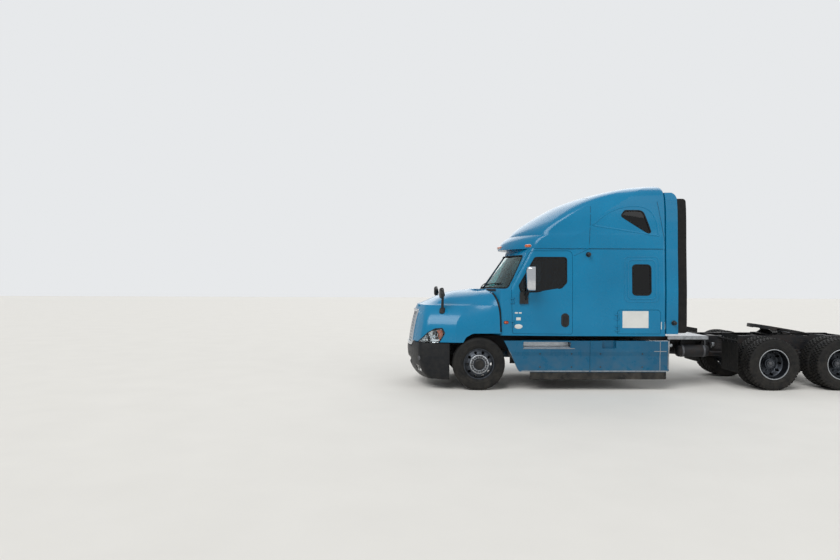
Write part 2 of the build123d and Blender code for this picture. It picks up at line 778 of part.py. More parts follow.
def build_hood():
    """The tilting hood with its grille, headlights and mirrors."""
    outer = split_loft(HOOD, HOOD_LIP, 0)
    shell = outer - split_loft(HOOD, HOOD_LIP, HOOD_SKIN)
    cab_room = extrude(nose_outline(*between_rows(CAB_LOWER, 800), CAB_CORNER, -HOOD_GAP), 1400)
    hood = shell - cab_room - through(WHEEL_ARCH) - ahead(rounded(*GRILLE_MOUTH))
    lamp_zone = near(HEADLIGHT, 0, -1400, -600)
    lamps = hood & lamp_zone
    hood = hood - lamp_zone - mirror(lamp_zone, Plane.XZ)
    for y in (-HOOD_ARM_Y, HOOD_ARM_Y):
        hood = hood + hood_arm(y)
        hood = hood - Pos(HOOD_PIVOT_X, y, HOOD_PIVOT_Z) * (Rot(90, 0, 0) * Cylinder(HOOD_PIN + RUNNING, 60))
    return {
        "hood": [main_solid(hood)],
        "headlights": both(main_solid(lamps)),
        "grille": [build_grille()],
        "hood_mirrors": both(main_solid(build_hood_mirror() - outer)),
    }


def hood_arm(y):
    """The arm at y from the hood's pivot, bent round the bumper's edge, up behind the grille."""
    x, z = HOOD_PIVOT_X, HOOD_PIVOT_Z
    high = GRILLE_TOP + 90
    side = rounded([
        (x - 26, z + 8), (x - 16, z - 26), (x + 24, z - 26), (x + 100, z + 40), (x + 107, z + 110),
        (x + 107, z + 300), (-1088, GRILLE_TOP), (-1060, high), (-1140, high), (-1112, GRILLE_TOP - 20),
        (x + 52, z + 300), (x + 68, z + 100), (x + 66, z + 72), (x + 6, z + 28),
    ], (12, 18, 18, 20, 20, 0, 0, 0, 0, 0, 0, 10, 8, 8))
    return side_slab(side, y - HOOD_ARM_HALF, y + HOOD_ARM_HALF)


def lattice():
    """Two sets of slanting bars that cross in diamonds, as a flat (y, z) face."""
    middle = (GRILLE_LOW + GRILLE_TOP) / 2
    lean = math.degrees(math.atan2(MESH_WIDE, MESH_TALL))
    count = math.ceil((GRILLE_HALF + (GRILLE_TOP - GRILLE_LOW) / 2) / MESH_WIDE)
    web = None
    for side in (-1, 1):
        for i in range(-count, count + 1):
            bar = Pos(i * MESH_WIDE, middle) * (Rot(0, 0, side * lean) * Rectangle(MESH_BAR, 4 * GRILLE_HALF))
            web = bar if web is None else web + bar
    return web


def build_grille():
    """The bowed frame and diamond mesh in the hood's mouth."""
    mouth = rounded(*GRILLE_MOUTH)
    frame = offset(mouth, -FIT) - offset(mouth, -GRILLE_FRAME)
    skin = loft_rows(HOOD_FACE, -GRILLE_PROUD) - loft_rows(HOOD_FACE, HOOD_SKIN)
    mesh_front, mesh_back = MESH_DEPTH
    thin = loft_rows(HOOD_FACE, mesh_front) - loft_rows(HOOD_FACE, mesh_back)
    mesh = thin & ahead(lattice() & offset(mouth, -GRILLE_FRAME / 2))
    return main_solid((skin & ahead(frame)) + mesh)


def build_hood_mirror():
    """The round look-down mirror on the left of the hood, on its stalk."""
    back, front, deep = 60, 98, 60
    head = Pos(*HOOD_MIRROR_HEAD) * (Rot(0, HOOD_MIRROR_LEAN, 0) * Cone(front, back, deep))
    return rod(HOOD_MIRROR_FOOT, HOOD_MIRROR_HEAD, 10) + head


def build_bumper():
    """The wrap-round bumper with its brackets to the frame, and the fog lamps in it."""
    skin = loft_rows(BUMPER, 0) - loft_rows(BUMPER, BUMPER_SKIN, drop=0)
    skin = skin - block((BUMPER_END, BUMPER_END + 760), (-WIDE, WIDE), (100, 1200))
    gap, low = GRILLE_HALF + BUMPER_NOTCH_GAP, GRILLE_LOW - BUMPER_NOTCH_DROP
    notch = rounded([(-gap, low), (gap, low), (gap, low + 200), (-gap, low + 200)], (40, 40, 0, 0))
    skin = skin - ahead(notch, -1000) - ahead(rounded(*BUMPER_INLET), -1000)
    lamp_skin = loft_rows(BUMPER, 4, drop=0) - loft_rows(BUMPER, 40, drop=0)
    wide, tall, corner = FOG_LAMP
    plate_side = rounded([(RAIL_FRONT, 740), (RAIL_FRONT + 170, 740), (RAIL_FRONT + 170, 960),
                          (RAIL_FRONT, 900), (HOOD_PIVOT_X + 15, HOOD_PIVOT_Z + 35),
                          (HOOD_PIVOT_X - 45, HOOD_PIVOT_Z + 25), (-1330, 560)], 0)
    lamps = []
    for side in (-1, 1):
        place = Pos(side * FOG_LAMP_Y, FOG_LAMP_Z)
        skin = skin - ahead(place * RectangleRounded(wide, tall, corner))
        lens = place * RectangleRounded(wide - 2 * FIT, tall - 2 * FIT, corner - FIT)
        lamps.append(main_solid(ahead(lens) & lamp_skin))
        plate = side_slab(plate_side, *either_side(RAIL_OUT, RAIL_OUT + BRACKET_THICK, side))
        skin = skin + (plate & loft_rows(BUMPER, BUMPER_SKIN / 2, drop=0))
        pin = Cylinder(HOOD_PIN, 2 * (RAIL_OUT - HOOD_ARM_Y))
        skin = skin + Pos(HOOD_PIVOT_X, side * HOOD_ARM_Y, HOOD_PIVOT_Z) * (Rot(90, 0, 0) * pin)
    return {"bumper": [main_solid(skin)], "fog_lamps": lamps}


# Running gear

def turned(profile):
    """The (radius, outward) profile turned about the wheel's axle, for a wheel on the left at y 0."""
    face = Plane(origin=(0, 0, 0), x_dir=(0, 0, 1), z_dir=(1, 0, 0)) * profile
    return revolve(face, Axis.Y)


def axle_ring(outer, inner, w0, w1):
    """A ring about the axle between two outward distances, for a wheel on the left at y 0."""
    ring = Cylinder(outer, w1 - w0)
    if inner:
        ring = ring - Cylinder(inner, w1 - w0)
    return Pos(0, -(w0 + w1) / 2, 0) * (Rot(90, 0, 0) * ring)


def polygon(points):
    """A straight-sided face in the XY plane."""
    return make_face(Polyline(*points, close=True))


def build_rim(disc):
    """One rim about y 0, with its disc on the outward (disc 1) or inward (disc -1) side."""
    d, r, half = DISC_OFFSET, RIM_BORE, RIM_HALF
    seat, flange = half - BEAD_SEAT, half - FLANGE_WIDTH
    bore = HUB_RADIUS - 2
    points = [
        (FLANGE_RADIUS, -half), (FLANGE_RADIUS, -flange), (BEAD_RADIUS, -seat), (BEAD_RADIUS, seat),
        (FLANGE_RADIUS, flange), (FLANGE_RADIUS, half), (r + 6, half), (r - 2, half - 6),
        (r - 44, d - 18), (r - 74, d), (bore, d), (bore, d - DISC_THICK), (r - 82, d - DISC_THICK),
        (r - 56, d - 38), (r - 16, d - 86), (r, d - 102), (r, 6 - half), (r + 6, -half),
    ]
    rim = turned(polygon(points))
    for i in range(HAND_HOLES):
        turn = math.radians(360 * (i + 0.5) / HAND_HOLES)
        x, z = HAND_HOLE_CIRCLE / 2 * math.sin(turn), HAND_HOLE_CIRCLE / 2 * math.cos(turn)
        rim = rim - Pos(x, 48 - d, z) * (Rot(90, 0, 0) * Cylinder(HAND_HOLE_RADIUS, 160))
    return rim if disc > 0 else mirror(rim, Plane.XZ)


def nuts(w0):
    """The ring of wheel nuts standing outward from w0."""
    ring = None
    for i in range(STUD_COUNT):
        turn = math.radians(360 * i / STUD_COUNT)
        x, z = STUD_CIRCLE / 2 * math.sin(turn), STUD_CIRCLE / 2 * math.cos(turn)
        hexagon = RegularPolygon(NUT_ACROSS / 2, 6, major_radius=False)
        nut = extrude(Plane(origin=(x, -w0, z), z_dir=(0, -1, 0)) * hexagon, NUT_HEIGHT)
        ring = nut if ring is None else ring + nut
    return ring


def build_tyre():
    """One tyre about y 0, without its tread."""
    r, half = TYRE_RADIUS, TYRE_HALF
    points = [
        (BEAD_RADIUS, RIM_HALF - BEAD_SEAT), (FLANGE_RADIUS, RIM_HALF - FLANGE_WIDTH),
        (FLANGE_RADIUS + 4, RIM_HALF - 4), (FLANGE_RADIUS + 42, half - 7), (r - 105, half),
        (r - 60, half - 2), (r - 22, half - 17), (r - 6, half - 31), (r, half - 49),
    ]
    outline = [(r, -w) for r, w in points] + [(r, w) for r, w in reversed(points)]
    return turned(polygon(outline))


def front_wheel():
    """The left front wheel about its own centre: rim, hub, brake drum and nuts."""
    inner = SPINDLE_RADIUS + RUNNING
    disc = DISC_OFFSET
    drum = KINGPIN_Y - FRONT_TYRE_Y + DRUM_FACE
    web = drum + DRUM_WIDTH - DRUM_FACE
    wheel = build_rim(1)
    wheel = wheel + axle_ring(HUB_RADIUS, inner, disc - 60, disc)
    wheel = wheel + axle_ring(HUB_NECK, inner, web, disc - 60)
    wheel = wheel + axle_ring(HUB_NECK, 0, disc, disc + HUB_CAP)
    wheel = wheel + axle_ring(DRUM_RADIUS, DRUM_RADIUS - DRUM_WALL, drum, drum + DRUM_WIDTH)
    wheel = wheel + axle_ring(DRUM_RADIUS, inner, web, drum + DRUM_WIDTH)
    return wheel + nuts(disc)


def drive_wheel():
    """A left pair of drive wheels about the plane where their discs meet."""
    inner = SPINDLE_RADIUS + RUNNING
    hub = DRIVE_HUB_HALF
    drum = 20 - hub - DRIVE_DRUM_WIDTH
    wheel = Pos(0, -DISC_OFFSET, 0) * build_rim(-1) + Pos(0, DISC_OFFSET, 0) * build_rim(1)
    wheel = wheel + axle_ring(HUB_RADIUS, inner, -hub, hub)
    wheel = wheel + axle_ring(DRIVE_CAP[0], 0, hub, DRIVE_CAP[1])
    wheel = wheel + axle_ring(DRIVE_FLANGE[0], 0, *sorted((DRIVE_CAP[1], DRIVE_FLANGE[1])))
    wheel = wheel + axle_ring(DRUM_RADIUS, DRUM_RADIUS - DRUM_WALL, drum, drum + DRIVE_DRUM_WIDTH)
    wheel = wheel + axle_ring(DRUM_RADIUS, inner, -hub, 20 - hub)
    return wheel + nuts(DISC_THICK)


def build_wheels():
    """All wheels and tyres, keyed by node."""
    nodes = {}
    rim, tyre = main_solid(front_wheel()), main_solid(build_tyre())
    centre = Pos(0, -FRONT_TYRE_Y, AXLE_Z)
    for name, piece in (("wheel", rim), ("tyre", tyre)):
        left = centre * piece
        nodes[f"front_{name}_left"] = [left]
        nodes[f"front_{name}_right"] = [mirror(left, Plane.XZ)]
    pair = main_solid(drive_wheel())
    for axle, x in zip(("fore", "aft"), DRIVE_AXLES):
        centre = Pos(x, -DUAL_Y, AXLE_Z)
        wheel = centre * pair
        tyres = [centre * (Pos(0, side * DISC_OFFSET, 0) * tyre) for side in (-1, 1)]
        nodes[f"{axle}_wheels_left"] = [wheel]
        nodes[f"{axle}_wheels_right"] = [mirror(wheel, Plane.XZ)]
        nodes[f"{axle}_tyres_left"] = tyres
        nodes[f"{axle}_tyres_right"] = [mirror(t, Plane.XZ) for t in tyres]
    return nodes


def build_steering():
    """Front axle beam, knuckles and tie rod."""
    low, high, k = BOSS_LOW, BOSS_HIGH, KINGPIN_Y
    dip_in, rise_in, dip_out, rise_out = BEAM_BENDS
    under, over = BEAM_DROP
    right = [(rise_in, over), (rise_out, high - 5), (k, high - 5), (k, low + 5), (dip_out, low + 5),
             (dip_in, under)]
    beam = front_slab(polygon([(-y, z) for y, z in reversed(right)] + right), -BEAM_HALF, BEAM_HALF)
    spring_mid = sum(SPRING_Y) / 2
    for side in (-1, 1):
        post = Pos(0, side * k, (low + high) / 2)
        beam = beam + post * Cylinder(BOSS_RADIUS, high - low)
        beam = beam - post * Cylinder(KINGPIN_RADIUS + RUNNING, high - low + 20)
        pad = either_side(spring_mid - SPRING_PAD_HALF, spring_mid + SPRING_PAD_HALF, side)
        beam = beam + block((-60, 60), pad, (over - 5, SPRING_SEAT_Z))
    base = low - YOKE_GAP - YOKE_THICK
    top = high + YOKE_GAP + YOKE_THICK
    knuckle = Pos(0, -k, (base + top) / 2) * Cylinder(KINGPIN_RADIUS, top - base)
    near_side, far_side = YOKE_BACK
    for z0 in (base, high + YOKE_GAP):
        knuckle = knuckle + Pos(0, -k, z0 + YOKE_THICK / 2) * Cylinder(YOKE_RADIUS, YOKE_THICK)
        knuckle = knuckle + block((-YOKE_RADIUS, YOKE_RADIUS), (-k - far_side + 6, -k), (z0, z0 + YOKE_THICK))
    knuckle = knuckle + block((-60, 60), (-k - far_side, -k - near_side), (base, top))
    spindle_end = FRONT_TYRE_Y + DISC_OFFSET - 5
    knuckle = knuckle + rod((0, -k - near_side, AXLE_Z), (0, -spindle_end, AXLE_Z), SPINDLE_RADIUS)
    outer = -k - DRUM_FACE + ARM_CLEARANCE
    arm = rounded([(0, outer), (STEER_ARM, outer), (STEER_ARM, -k + STEER_ARM_HALF), (0, -k + 34)], (0, 0, 0, 0))
    knuckle = knuckle + plan_slab(arm, base, base + YOKE_THICK - 2)
    eye = Cylinder(STEER_ARM_HALF, YOKE_THICK - 2)
    knuckle = knuckle + Pos(STEER_ARM, -k, base + (YOKE_THICK - 2) / 2) * eye
    knuckle = knuckle - Pos(STEER_ARM, -k, base + YOKE_THICK / 2) * Cylinder(TIE_PIN_RADIUS + RUNNING, 60)
    knuckle = main_solid(knuckle)

    z = base - YOKE_GAP - TIE_EYE_HALF
    tie = rod((STEER_ARM, -k, z), (STEER_ARM, k, z), TIE_ROD_RADIUS)
    for y in (-k, k):
        tie = tie + Pos(STEER_ARM, y, z) * Cylinder(TIE_EYE_RADIUS, 2 * TIE_EYE_HALF)
        pin_top = base + YOKE_THICK
        tie = tie + Pos(STEER_ARM, y, (z + pin_top) / 2) * Cylinder(TIE_PIN_RADIUS, pin_top - z)
    return {
        "front_axle": [main_solid(beam)],
        "knuckle_left": [knuckle],
        "knuckle_right": [mirror(knuckle, Plane.XZ)],
        "tie_rod": [main_solid(tie)],
    }


def build_frame():
    """Frame rails and crossmembers."""
    lip = RAIL_OUT - RAIL_FLANGE
    channel = polygon([
        (RAIL_OUT, RAIL_TOP), (RAIL_OUT, RAIL_BOTTOM), (lip, RAIL_BOTTOM), (lip, RAIL_BOTTOM + RAIL_WALL),
        (WEB_IN, RAIL_BOTTOM + RAIL_WALL), (WEB_IN, RAIL_TOP - RAIL_WALL), (lip, RAIL_TOP - RAIL_WALL),
        (lip, RAIL_TOP),
    ])
    rail = front_slab(channel, RAIL_FRONT, FRAME_END)
    run, rise = TAIL_CUT
    tail_cut = side_slab(polygon([(FRAME_END - run, RAIL_BOTTOM - 5), (FRAME_END + 5, RAIL_BOTTOM + rise),
                                  (FRAME_END + 5, RAIL_BOTTOM - 5)]), 0, WIDE)
    rail = main_solid(rail - tail_cut)
    low, high = MEMBER_Z
    half, wall = MEMBER_HALF, MEMBER_WALL
    members = []
    for x in CROSSMEMBERS:
        hat = polygon([(x - half, low), (x - half, high), (x + half, high), (x + half, low),
                       (x + half - wall, low), (x + half - wall, high - wall),
                       (x - half + wall, high - wall), (x - half + wall, low)])
        members.append(side_slab(hat, -WEB_IN, WEB_IN))
    end_z = (RAIL_BOTTOM + rise + 5, RAIL_TOP - RAIL_WALL)
    end = block((FRAME_END - wall, FRAME_END), (-WEB_IN, WEB_IN), end_z)
    return {
        "rail_left": [mirror(rail, Plane.XZ)],
        "rail_right": [rail],
        "crossmembers": members + [main_solid(end)],
    }


def build_drive():
    """Engine with gearbox, radiator, drive shafts and drive axles."""
    engine = block(*ENGINE) + block(*GEARBOX)
    for x in ENGINE_FEET:
        engine = engine + block((x - 50, x + 50), (-WEB_IN, WEB_IN), ENGINE_FOOT_Z)
    radiator = block(*RADIATOR) + block(*RADIATOR_FOOT)
    nose_z = AXLE_Z + NOSE_RISE
    tube_end = DUAL_Y - DRIVE_DRUM_WIDTH - 42
    axles = []
    for x in DRIVE_AXLES:
        axle = rod((x, -tube_end, AXLE_Z), (x, tube_end, AXLE_Z), AXLE_TUBE)
        axle = axle + rod((x, -DUAL_Y - 55, AXLE_Z), (x, DUAL_Y + 55, AXLE_Z), SPINDLE_RADIUS)
        axle = axle + Pos(x, 0, AXLE_Z) * (Rot(90, 0, 0) * Cylinder(BOWL_RADIUS, BOWL_WIDTH))
        axle = axle + rod((x, 0, nose_z), (x - NOSE_REACH, 0, nose_z), NOSE_RADIUS)
        for side in (-1, 1):
            axle = axle + brake_chamber(x, side)
        axles.append(main_solid(axle))
    first, second = DRIVE_AXLES
    gap = SHAFT_GAP
    tail = first + math.sqrt(BOWL_RADIUS ** 2 - (NOSE_RISE - SHAFT_RADIUS) ** 2)
    shafts = [
        rod((GEARBOX[0][1] + gap, 0, SHAFT_START_Z), (first - NOSE_REACH - gap, 0, nose_z), SHAFT_RADIUS),
        rod((tail + SEATED, 0, nose_z), (second - NOSE_REACH - SEATED, 0, nose_z), SHAFT_RADIUS),
    ]
    return {
        "engine": [main_solid(engine), main_solid(radiator)],
        "drive_line": axles + shafts,
    }


def brake_chamber(x, side):
    """A spring brake ahead of the drive axle at x, on its bracket, with the waist of its two halves."""
    y, z, r = side * CHAMBER_Y, CHAMBER_Z, CHAMBER_RADIUS
    front, back = x + CHAMBER_X[0], x + CHAMBER_X[1]
    waist = (front + back) / 2
    can = rod((front, y, z), (back, y, z), r - 14)
    rings = ((front, waist - 12, r - 8), (waist - 22, waist - 10, r), (waist + 10, back, r - 6))
    for x0, x1, radius in rings:
        can = can + rod((x0, y, z), (x1, y, z), radius)
    plate = block((back, back + 30), (y - 40, y + 40), (AXLE_Z - 20, z + r - 6))
    return can + plate


def leaf_pack():
    """A front leaf spring seen from the side, with a flat at its front end."""
    half, top, low = SPRING_HALF, RAIL_BOTTOM, SPRING_SEAT_Z
    eye = top - LEAF_THICK
    return make_face(Wire([
        ThreePointArc((-half, eye), (0, low), (half, eye)), Line((half, eye), (half, top)),
        Line((half, top), (half - 40, top)),
        ThreePointArc((half - 40, top), (0, low + LEAF_THICK + 7), (40 - half, top)),
        Line((40 - half, top), (-half, top)), Line((-half, top), (-half, eye)),
    ]))


def build_suspension():
    """Front leaf springs, cab mounts, rear arms and air springs."""
    pieces = both(main_solid(side_slab(leaf_pack(), -SPRING_Y[1], -SPRING_Y[0])))
    for x in CAB_MOUNTS:
        pieces += both(block((x - CAB_MOUNT_HALF, x + CAB_MOUNT_HALF), (-RAIL_OUT, RAIL_FLANGE - RAIL_OUT),
                             (RAIL_TOP, SILL_Z)))
    tail_low, tail_high = ARM_TAIL_Z
    seat, rail = ARM_SEAT_Z, RAIL_BOTTOM
    for x in DRIVE_AXLES:
        arm = side_slab(rounded([
            (x - ARM_FRONT, rail), (x - ARM_FRONT, rail - 107), (x - ARM_FRONT + 80, rail - 157),
            (x - 60, seat), (x + 70, seat), (x + 190, tail_low), (x + ARM_TAIL, tail_low),
            (x + ARM_TAIL, tail_high), (x + 230, tail_high + 10), (x + 100, rail - 77),
            (x - 440, rail - 77), (x - 500, rail),
        ], (0, 20, 30, 0, 0, 40, 10, 10, 40, 60, 40, 0)), -ARM_Y[1], -ARM_Y[0])
        bag = Cylinder(BAG_RADIUS, rail - tail_high)
        bag = Pos(x + BAG_SET_BACK, -sum(ARM_Y) / 2, (tail_high + rail) / 2) * bag
        pieces += both(main_solid(arm)) + both(main_solid(bag))
    return {"suspension": pieces}


def fifth_wheel_outline():
    """The fifth wheel's top plate seen from above, about its pivot, with the kingpin's throat."""
    r, half, throat = FIFTH_RADIUS, FIFTH_HALF, KINGPIN_THROAT
    back, front = FIFTH_SHOULDER
    rear, (horn, mouth), deep = FIFTH_REAR, FIFTH_HORN, THROAT_DEPTH
    right = [(front, half), (back, half), (rear, horn), (rear, mouth), (deep, throat), (0, throat)]
    edges = [ThreePointArc((front, -half), (-r, 0), (front, half))]
    edges += [Line(a, b) for a, b in zip(right, right[1:])]
    edges.append(ThreePointArc((0, throat), (-throat, 0), (0, -throat)))
    left = [(x, -y) for x, y in reversed(right)]
    edges += [Line(a, b) for a, b in zip(left, left[1:])]
    return make_face(Wire(edges))


def build_coupling():
    """Fifth wheel base with its posts and ramps, and the tilting plate."""
    px, pz = FIFTH_X, FIFTH_PIVOT_Z
    bore = FIFTH_PIN + RUNNING
    base = block((px - BASE_HALF, px + BASE_HALF), (-RAIL_OUT, RAIL_OUT), (RAIL_TOP, RAIL_TOP + BASE_THICK))
    pin_mid = sum(POST_Y) / 2
    start, end = RAMP
    start_rise, end_rise = RAMP_RISE
    ramp_side = polygon([(px + start, RAIL_TOP), (px + start, RAIL_TOP + start_rise),
                         (px + end, RAIL_TOP + end_rise), (px + end, RAIL_TOP)])
    post_side = rounded([(px - POST_FOOT, RAIL_TOP + 10), (px + POST_FOOT, RAIL_TOP + 10),
                         (px + POST_TOP, pz + 38), (px - POST_TOP, pz + 38)], (0, 0, 36, 36))
    for side in (-1, 1):
        base = base + side_slab(post_side, *either_side(*POST_Y, side))
        base = base - Pos(px, side * pin_mid, pz) * (Rot(90, 0, 0) * Cylinder(bore, 80))
        base = base + side_slab(ramp_side, *either_side(RAIL_OUT - RAIL_FLANGE, RAIL_OUT, side))

    under = FIFTH_TOP - FIFTH_THICK
    outline = fifth_wheel_outline()
    plate = plan_slab(outline, under, FIFTH_TOP)
    rim = plan_slab(outline - offset(outline, -RIB_THICK), under - RIB_DEPTH, under)
    plate = plate + (rim & block((-FIFTH_RADIUS, -POST_FOOT - 20), (-FIFTH_HALF, FIFTH_HALF), (0, under)))
    ear_side = rounded([(-90, under + 5), (90, under + 5), (34, -32), (-34, -32)], (0, 0, 30, 30))
    inner, outer = POST_Y[0] - EAR_GAP - EAR_THICK, POST_Y[1] + EAR_GAP
    for side in (-1, 1):
        for y0 in (inner, outer):
            plate = plate + side_slab(ear_side, *either_side(y0, y0 + EAR_THICK, side))
        plate = plate + Pos(0, side * pin_mid, 0) * (Rot(90, 0, 0) * Cylinder(FIFTH_PIN, 130))
    plate = Pos(px, 0, pz) * (Rot(0, FIFTH_TILT, 0) * plate)
    return {"fifth_wheel_base": solids(base), "fifth_wheel": [main_solid(plate)]}


def build_fairing():
    """The left chassis fairing: creased skin with lip, step, filler notch, seam, skirt and braces."""
    out, skin = FAIRING_OUT, FAIRING_SKIN
    high, low = FAIRING_CREASE
    tuck = out - FAIRING_TUCK

    def room(inset, deep):
        """Everything inside the creased side, moved in by inset, as far as deep from the middle."""
        side = [(-out + inset, FAIRING_TOP + 10), (-out + inset, high), (-tuck + inset, low),
                (-tuck + inset, FAIRING_LOW - 10), (-deep, FAIRING_LOW - 10), (-deep, FAIRING_TOP + 10)]
        return front_slab(polygon(side), FAIRING_SHAPE[0][0][0] - 10, FAIRING_REAR + 10)

    shape = rounded(*FAIRING_SHAPE)
    fairing = side_slab(shape, -out, FAIRING_LIP - out) & room(0, 0)
    fairing = fairing - (side_slab(offset(shape, -skin), -out, 0) & room(skin, 0))
    for outline, wall, deep in ((STEP_RECESS, skin, STEP_DEPTH), (FILLER_NOTCH, NOTCH_SKIN, NOTCH_DEPTH)):
        hole = rounded(*outline)
        tray = side_slab(offset(hole, wall), -out, deep + wall - out) - side_slab(hole, -out - 1, deep - out)
        tray = tray & block((0, FAIRING_REAR), (-WIDE, 0), (FAIRING_LOW, FAIRING_TOP))
        fairing = fairing - side_slab(hole, -out - 1, FAIRING_LIP - out + 1) + tray
    seam = (FAIRING_SEAM - PANEL_GAP / 2, FAIRING_SEAM + PANEL_GAP / 2)
    fairing = fairing - block(seam, (-out - 1, FAIRING_LIP - out + 1), (FAIRING_LOW + skin, FAIRING_TOP + 1))
    skirt = block((960, FAIRING_REAR - 53), (SKIRT_IN - out, SKIRT_IN + SKIRT_THICK - out),
                  (SKIRT_LOW, FAIRING_LOW + skin + 2))
    fairing = fairing + skirt
    for x in BRACES:
        fairing = fairing + block((x - BRACE_HALF, x + BRACE_HALF), (10 - out, -RAIL_OUT),
                                  (RAIL_BOTTOM + 40, RAIL_BOTTOM + 80))
    return main_solid(fairing)


def flap_on_arm(x, y, z, arm_z):
    """A left flap hung from an arm on the rail, at x, over y and z (low, high)."""
    near_side, far_side = y
    flap = block((x, x + FLAP_THICK), (-far_side, -near_side), z)
    mid = x + FLAP_THICK / 2
    return main_solid(flap + rod((mid, -RAIL_OUT - SEATED, arm_z), (mid, -far_side, arm_z), FLAP_ARM_RADIUS))


def build_chassis_parts():
    """Tanks, boxes, deck, fenders, flaps and side fairings."""
    tank = Rot(0, 90, 0) * Cylinder(TANK_RADIUS, TANK_LENGTH)
    tank = Pos(TANK_X, -TANK_Y, FAIRING_TOP - TANK_SET_DOWN) * tank
    for x in TANK_STRAPS:
        tank = tank + block((x - TANK_STRAP_HALF, x + TANK_STRAP_HALF), (-RAIL_OUT - 180, -RAIL_OUT),
                            (RAIL_BOTTOM + 20, RAIL_BOTTOM + 200))
    deck_x = (DECK_FRONT, DECK_REAR)
    deck = block(deck_x, (-DECK_HALF, DECK_HALF), (RAIL_TOP, RAIL_TOP + DECK_THICK))
    for side in (-1, 1):
        deck = deck + block(deck_x, either_side(DECK_HALF - DECK_THICK, DECK_HALF, side),
                            (RAIL_TOP - DECK_EDGE, RAIL_TOP))
    fairing = build_fairing()
    return {
        "fuel_tanks": both(main_solid(tank)),
        "side_boxes": both(block(*SIDE_BOX)),
        "deck_plate": [main_solid(deck)],
        "rear_fenders": both(flap_on_arm(FENDER_X - FLAP_THICK / 2, FENDER_Y, FENDER_Z, FENDER_ARM_Z)),
        "mud_flaps": both(flap_on_arm(FLAP_X - FLAP_THICK / 2, FLAP_Y, FLAP_Z, FLAP_ARM_Z)),
        "fairing_left": [fairing],
        "fairing_right": [mirror(fairing, Plane.XZ)],
    }


def build_interior():
    """Dashboard, seats, bunk, mattress and steering wheel."""
    face_x = 700
    dash = side_slab(rounded([(230, DASH_LOW), (face_x, DASH_LOW), (face_x + 180, DASH_LOW + 210),
                              (face_x + 230, DASH_TOP - 30), (face_x + 150, DASH_TOP), (230, DASH_TOP)],
                             (0, 60, 80, 30, 40, 0)), -WIDE, WIDE)
    dash = dash & cab_plan(WALL + 20, DASH_LOW - 30, DASH_TOP + 50)
    rake = Pos(*STEERING_CENTRE) * Rot(0, STEERING_RAKE, 0)
    dash = dash - rake * (Pos(0, 0, -230) * Cylinder(COLUMN_RADIUS + RUNNING, 460))

    floor, (left, right) = SILL_Z + FLOOR_THICK, SEAT_Y
    seat = block((1330, 1680), (left + 80, right - 80), (floor, 1380))
    seat = seat + block((1230, 1760), SEAT_Y, (1380, 1520))
    back = rounded([(1700, 1500), (1830, 1500), (1900, 2120), (1790, 2120)], 30)
    back = side_slab(back, left + 20, right - 20)
    head = block((1800, 1900), (left + 140, right - 140), (2110, 2330))
    rear = SLEEPER_BACK - WALL
    side = SLEEPER_HALF - 70
    bunk = block((BUNK_FRONT, rear), (-side, side), BUNK_Z)
    mattress = block((BUNK_FRONT + 20, rear - 20), (30 - side, side - 30), (BUNK_Z[1] + SEATED, MATTRESS_TOP))

    wheel = Torus(*STEERING_RIM) + Cylinder(*STEERING_HUB)
    for turn in SPOKE_TURNS:
        wheel = wheel + Rot(0, 0, turn) * block((0, STEERING_RIM[0]), (-16, 16), (-8, 8))
    wheel = wheel + Pos(0, 0, -190) * Cylinder(COLUMN_RADIUS, 380)
    return {
        "dashboard": [main_solid(dash)],
        "seats": both(main_solid(seat + back + head)),
        "bunk": [bunk],
        "mattress": [mattress],
        "steering_wheel": [main_solid(rake * wheel)],
    }


def build_door_mirrors():
    """Mirrors on the doors: a tall head on two arms from a pad."""
    head = Pos(*MIRROR_HEAD) * Box(*MIRROR_SIZE)
    head = fillet(head.edges(), MIRROR_CORNER)
    mirror_y = MIRROR_HEAD[1]
    arms = rod((850, 75 - SLEEPER_HALF, 1790), (900, mirror_y + 60, 1940), MIRROR_ARM)
    arms = arms + rod((880, 70 - SLEEPER_HALF, 1700), (930, mirror_y + 20, 1930), MIRROR_ARM)
    pad = block((770, 930), (40 - SLEEPER_HALF, 90 - SLEEPER_HALF), (1640, 1860))
    left = main_solid(head + arms + pad - cab_plan(0, SILL_Z, BELT_Z))
    return {"mirror_left": [left], "mirror_right": [mirror(left, Plane.XZ)]}


def main():
    """Write every node's STEP file."""
    os.makedirs("parts", exist_ok=True)
    steps = (build_body, build_extenders, build_hood, build_bumper, build_wheels, build_steering,
             build_frame, build_drive, build_suspension, build_coupling, build_chassis_parts,
             build_interior, build_door_mirrors)
    for step in steps:
        for name, pieces in step().items():
            moved = [Pos(ORIGIN_X, 0, 0) * piece for piece in pieces]
            shape = moved[0] if len(moved) == 1 else Compound(moved)
            export_step(shape, f"parts/{name}.step")


main()
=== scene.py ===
"""Looks of a long-haul tractor unit with a raised-roof sleeper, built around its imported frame.

Places are given like on the drawing: millimetres from the front axle (x), from the middle (y)
and from the ground (z). The truck faces -X, and its left side is at -Y.
"""

import json
import math
from itertools import product

import bmesh
import bpy
from mathutils import Matrix, Vector
from mathutils.bvhtree import BVHTree

